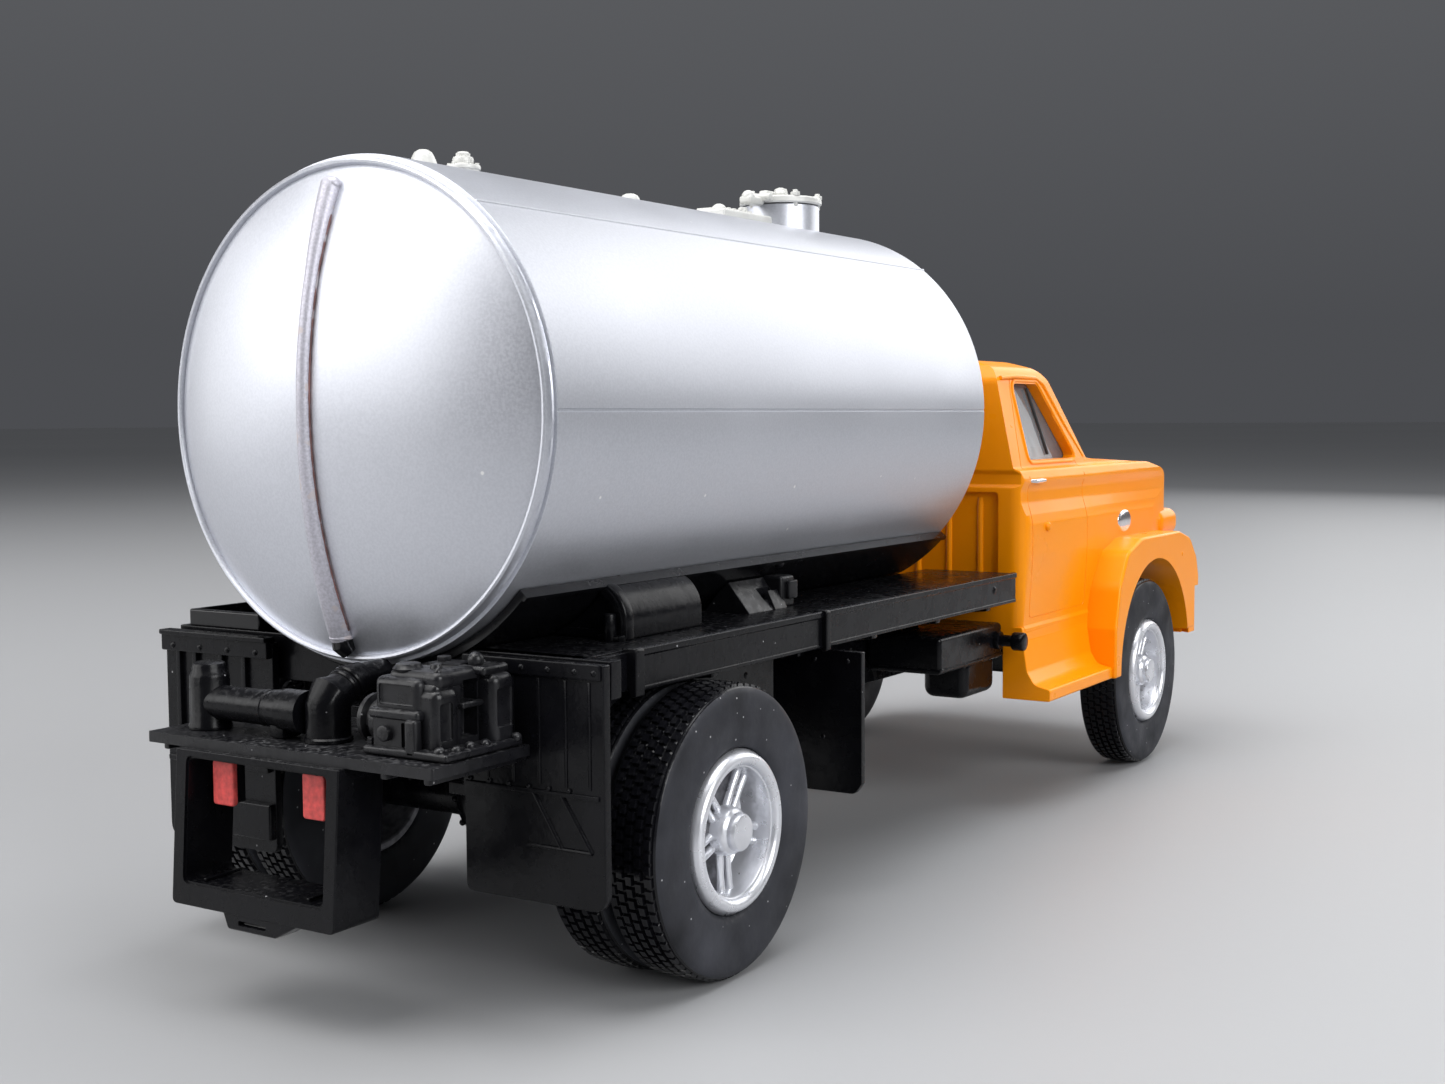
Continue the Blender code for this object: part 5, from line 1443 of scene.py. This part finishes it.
def make_cab_glass():
    pane = combine(cab_hollow(0.86), "INTERSECT", block((0, -20, 27.3), (60, 20, 34.2), 0))
    cover("glazing", cut(pane, cab_hollow(1.3)), "clear")
    for side in (-1, 1):
        bar = [(22.9, side * (side_y(28.0) - 0.75), 27.9), (20.9, side * (side_y(33.3) - 0.75), 33.3)]
        piece(f"vent_window_bar_{'left' if side > 0 else 'right'}", sweep(bar, 0.12, 10), "interior")
    for y in (-5.2, 5.2):
        arm = [(29.4, y, 27.75), (28.7, y + 0.9, 28.6), (26.9, y + 3.9, 30.6)]
        piece(f"wiper_{'left' if y > 0 else 'right'}", sweep(arm, [0.2, 0.13, 0.12], 8), "black")


def make_grille():
    x = NOSE_X - 0.1
    forms = [block((x - 0.75, -11.2, 15.75), (x - 0.45, 11.2, 22.25), 0.04)]
    forms += [block((x - 0.5, -8.3, 16.1 + 0.62 * k), (x, 8.3, 16.4 + 0.62 * k), 0.06) for k in range(10)]
    forms += [
        block((x - 0.5, side * 8.35, 15.95), (x + 0.05, side * 8.75, 22.05), 0.08)
        for side in (-1, 1)
    ]
    forms += [block((x - 0.5, y - 0.12, 16.0), (x - 0.08, y + 0.12, 22.0), 0.04) for y in (-4.2, 0, 4.2)]
    for side in (-1, 1):
        bezel = [(1.2, 0), (1.2, 0.5), (1.3, 0.58), (1.42, 0.55), (1.45, 0.4), (1.45, 0)]
        forms.append(lathe(bezel, (x - 0.4, side * 10.0, 19.2), AHEAD, 48))
    cover("grille", merge(*forms), "chrome")


def make_front_lamps():
    x = NOSE_X - 0.1
    for label, side in SIDES.items():
        lens = [(0, 0.62), (0.5, 0.58), (0.9, 0.45), (1.15, 0.2), (1.15, 0), (0, 0)]
        cover(f"headlight_{label}", lathe(lens, (x - 0.2, side * 10.0, 19.2), AHEAD, 40), "lamp")
        marker = block((x - 0.3, side * 9.1, 16.4), (x + 0.02, side * 11.0, 17.2), 0.12)
        piece(f"turn_signal_{label}", marker, "amber")


def make_bumper():
    outer = [(48.9, 16.75, 0.1), (50.9, 16.75, 1.2), (52.2, 15.8, 2.0), (52.34, 12.6, 3.0)]
    inner = [(51.5, 12.6, 0), (51.35, 15.0, 1.2), (50.6, 15.95, 0.8), (48.9, 16.0, 0)]
    right_inner = [(u, -v, r) for u, v, r in inner]
    outline = rounded([*fore_and_aft(outer), *right_inner, *inner[::-1]], 6)
    forms = [prism(outline, "Z", 10.4, 14.8, 0.35, 4)]
    forms += [block((49.0, side * 5.2, 11.4), (51.7, side * 6.6, 12.9), 0.1) for side in (-1, 1)]
    forms += [rivet((52.3, side * y, 12.6), AHEAD, 0.3, 0.04) for side in (-1, 1) for y in (4.0, 10.0)]
    cover("front_bumper", merge(*forms), "orange")


def make_seats():
    floor_z = FRAME_TOP + 0.06
    forms = [
        block((14.4, -12.4, floor_z), (26.6, 12.4, floor_z + 0.9), 0.1),
        block((15.4, -11.8, floor_z + 0.5), (20.6, 11.8, 20.3), 0.7, 5),
        block((14.7, -11.8, floor_z + 0.5), (16.3, 11.8, 26.3), 0.6, 5),
        block((24.7, -12.2, floor_z + 0.5), (26.6, 12.2, 25.1), 0.5, 4),
        block((23.9, 4.0, 24.2), (25.2, 8.2, 25.9), 0.4, 4),
        rod((22.4, -1.0, floor_z + 0.6), (21.9, -1.0, 22.0), 0.18, sides=14),
        ball((21.9, -1.0, 22.1), 0.4),
    ]
    forms += [block((20.45, y - 0.06, 17.0), (20.7, y + 0.06, 20.1), 0.03) for y in (-8, -4, 0, 4, 8)]
    cover("cab_interior", merge(*forms), "interior")


def make_steering_wheel():
    centre, left = Vector((23.2, 6.0, 25.2)), Vector((0, 1, 0))
    lean = Vector((-0.55, 0, 0.83)).normalized()
    across = lean.cross(left).normalized()

    def reach(t, radius):
        return centre + (left * math.cos(t) + across * math.sin(t)) * radius

    boss = [(0, 0.25), (0.5, 0.2), (0.6, -0.2), (0.4, -0.5), (0.35, -1.4), (0, -1.4)]
    forms = [loop([reach(t, 2.3) for t in turns(48)], 0.24, 14), lathe(boss, centre, lean, 32)]
    spokes = (0, math.pi, -math.pi / 2)
    forms += [sweep([centre, reach(t, 2.25)], [0.24, 0.16], 10) for t in spokes]
    cover("steering_wheel", merge(*forms), "interior")


def make_handles():
    handle_x, handle_z, oval_x, oval_z = 15.2, 25.9, 36.2, 21.7
    bends = ((0, -0.1), (0.2, 0.22), (1.15, 0.28), (2.1, 0.22), (2.3, -0.1))
    for label, side in SIDES.items():
        y = side_y(handle_z)
        path = [(handle_x + dx, side * (y + dy), handle_z) for dx, dy in bends]
        handle = sweep(path, [0.16, 0.2, 0.24, 0.2, 0.16], 14, 0.8)
        cover(f"door_handle_{label}", handle, "chrome")
        oval = ball((oval_x, side * side_y(oval_z), oval_z), 1.0, (1.7, 0.18, 0.98), 32)
        piece(f"fender_trim_{label}", oval, "chrome")


def make_fuel_tanks():
    for label, side in SIDES.items():
        forms = [
            block((7.2, side * 8.8, 9.45), (13.0, side * 12.5, 12.6), 0.8, 5),
            block((1.6, side * 7.0, 12.1), (13.05, side * 13.0, 14.9), 0.35, 4),
            block((1.5, side * 7.0, 12.3), (13.1, side * 13.1, 12.55), 0.08),
            crossbar(11.9, 13.6, side * 12.0, side * 14.6, 0.45, sides=28),
            crossbar(11.9, 13.6, side * 14.4, side * 15.4, 0.72, sides=36, bevel=0.14),
            crossbar(11.9, 13.6, side * 12.8, side * 13.4, 0.7, sides=32),
        ]
        cover(f"fuel_tank_{label}", merge(*forms), "black")


# ---------------------------------------------------------------- the whole truck


for make in (
    make_camera, make_sky, make_lamps, make_floor, make_wheelsets, make_frame, make_screws,
    make_axle_supports, make_deck, make_saddle, make_locker, make_wedge, make_hose_coupling,
    make_hose_tray, make_barrel, make_heads, make_sight_tube, make_vents, make_step_plate, make_manhole,
    make_platform, make_pump, make_filler_post, make_suction_elbow, make_guard, make_tail_lights,
    make_right_flap, make_left_flap, make_splash_guards, make_cab, make_cab_glass, make_grille,
    make_front_lamps, make_bumper, make_seats, make_steering_wheel, make_handles, make_fuel_tanks,
):
    make()
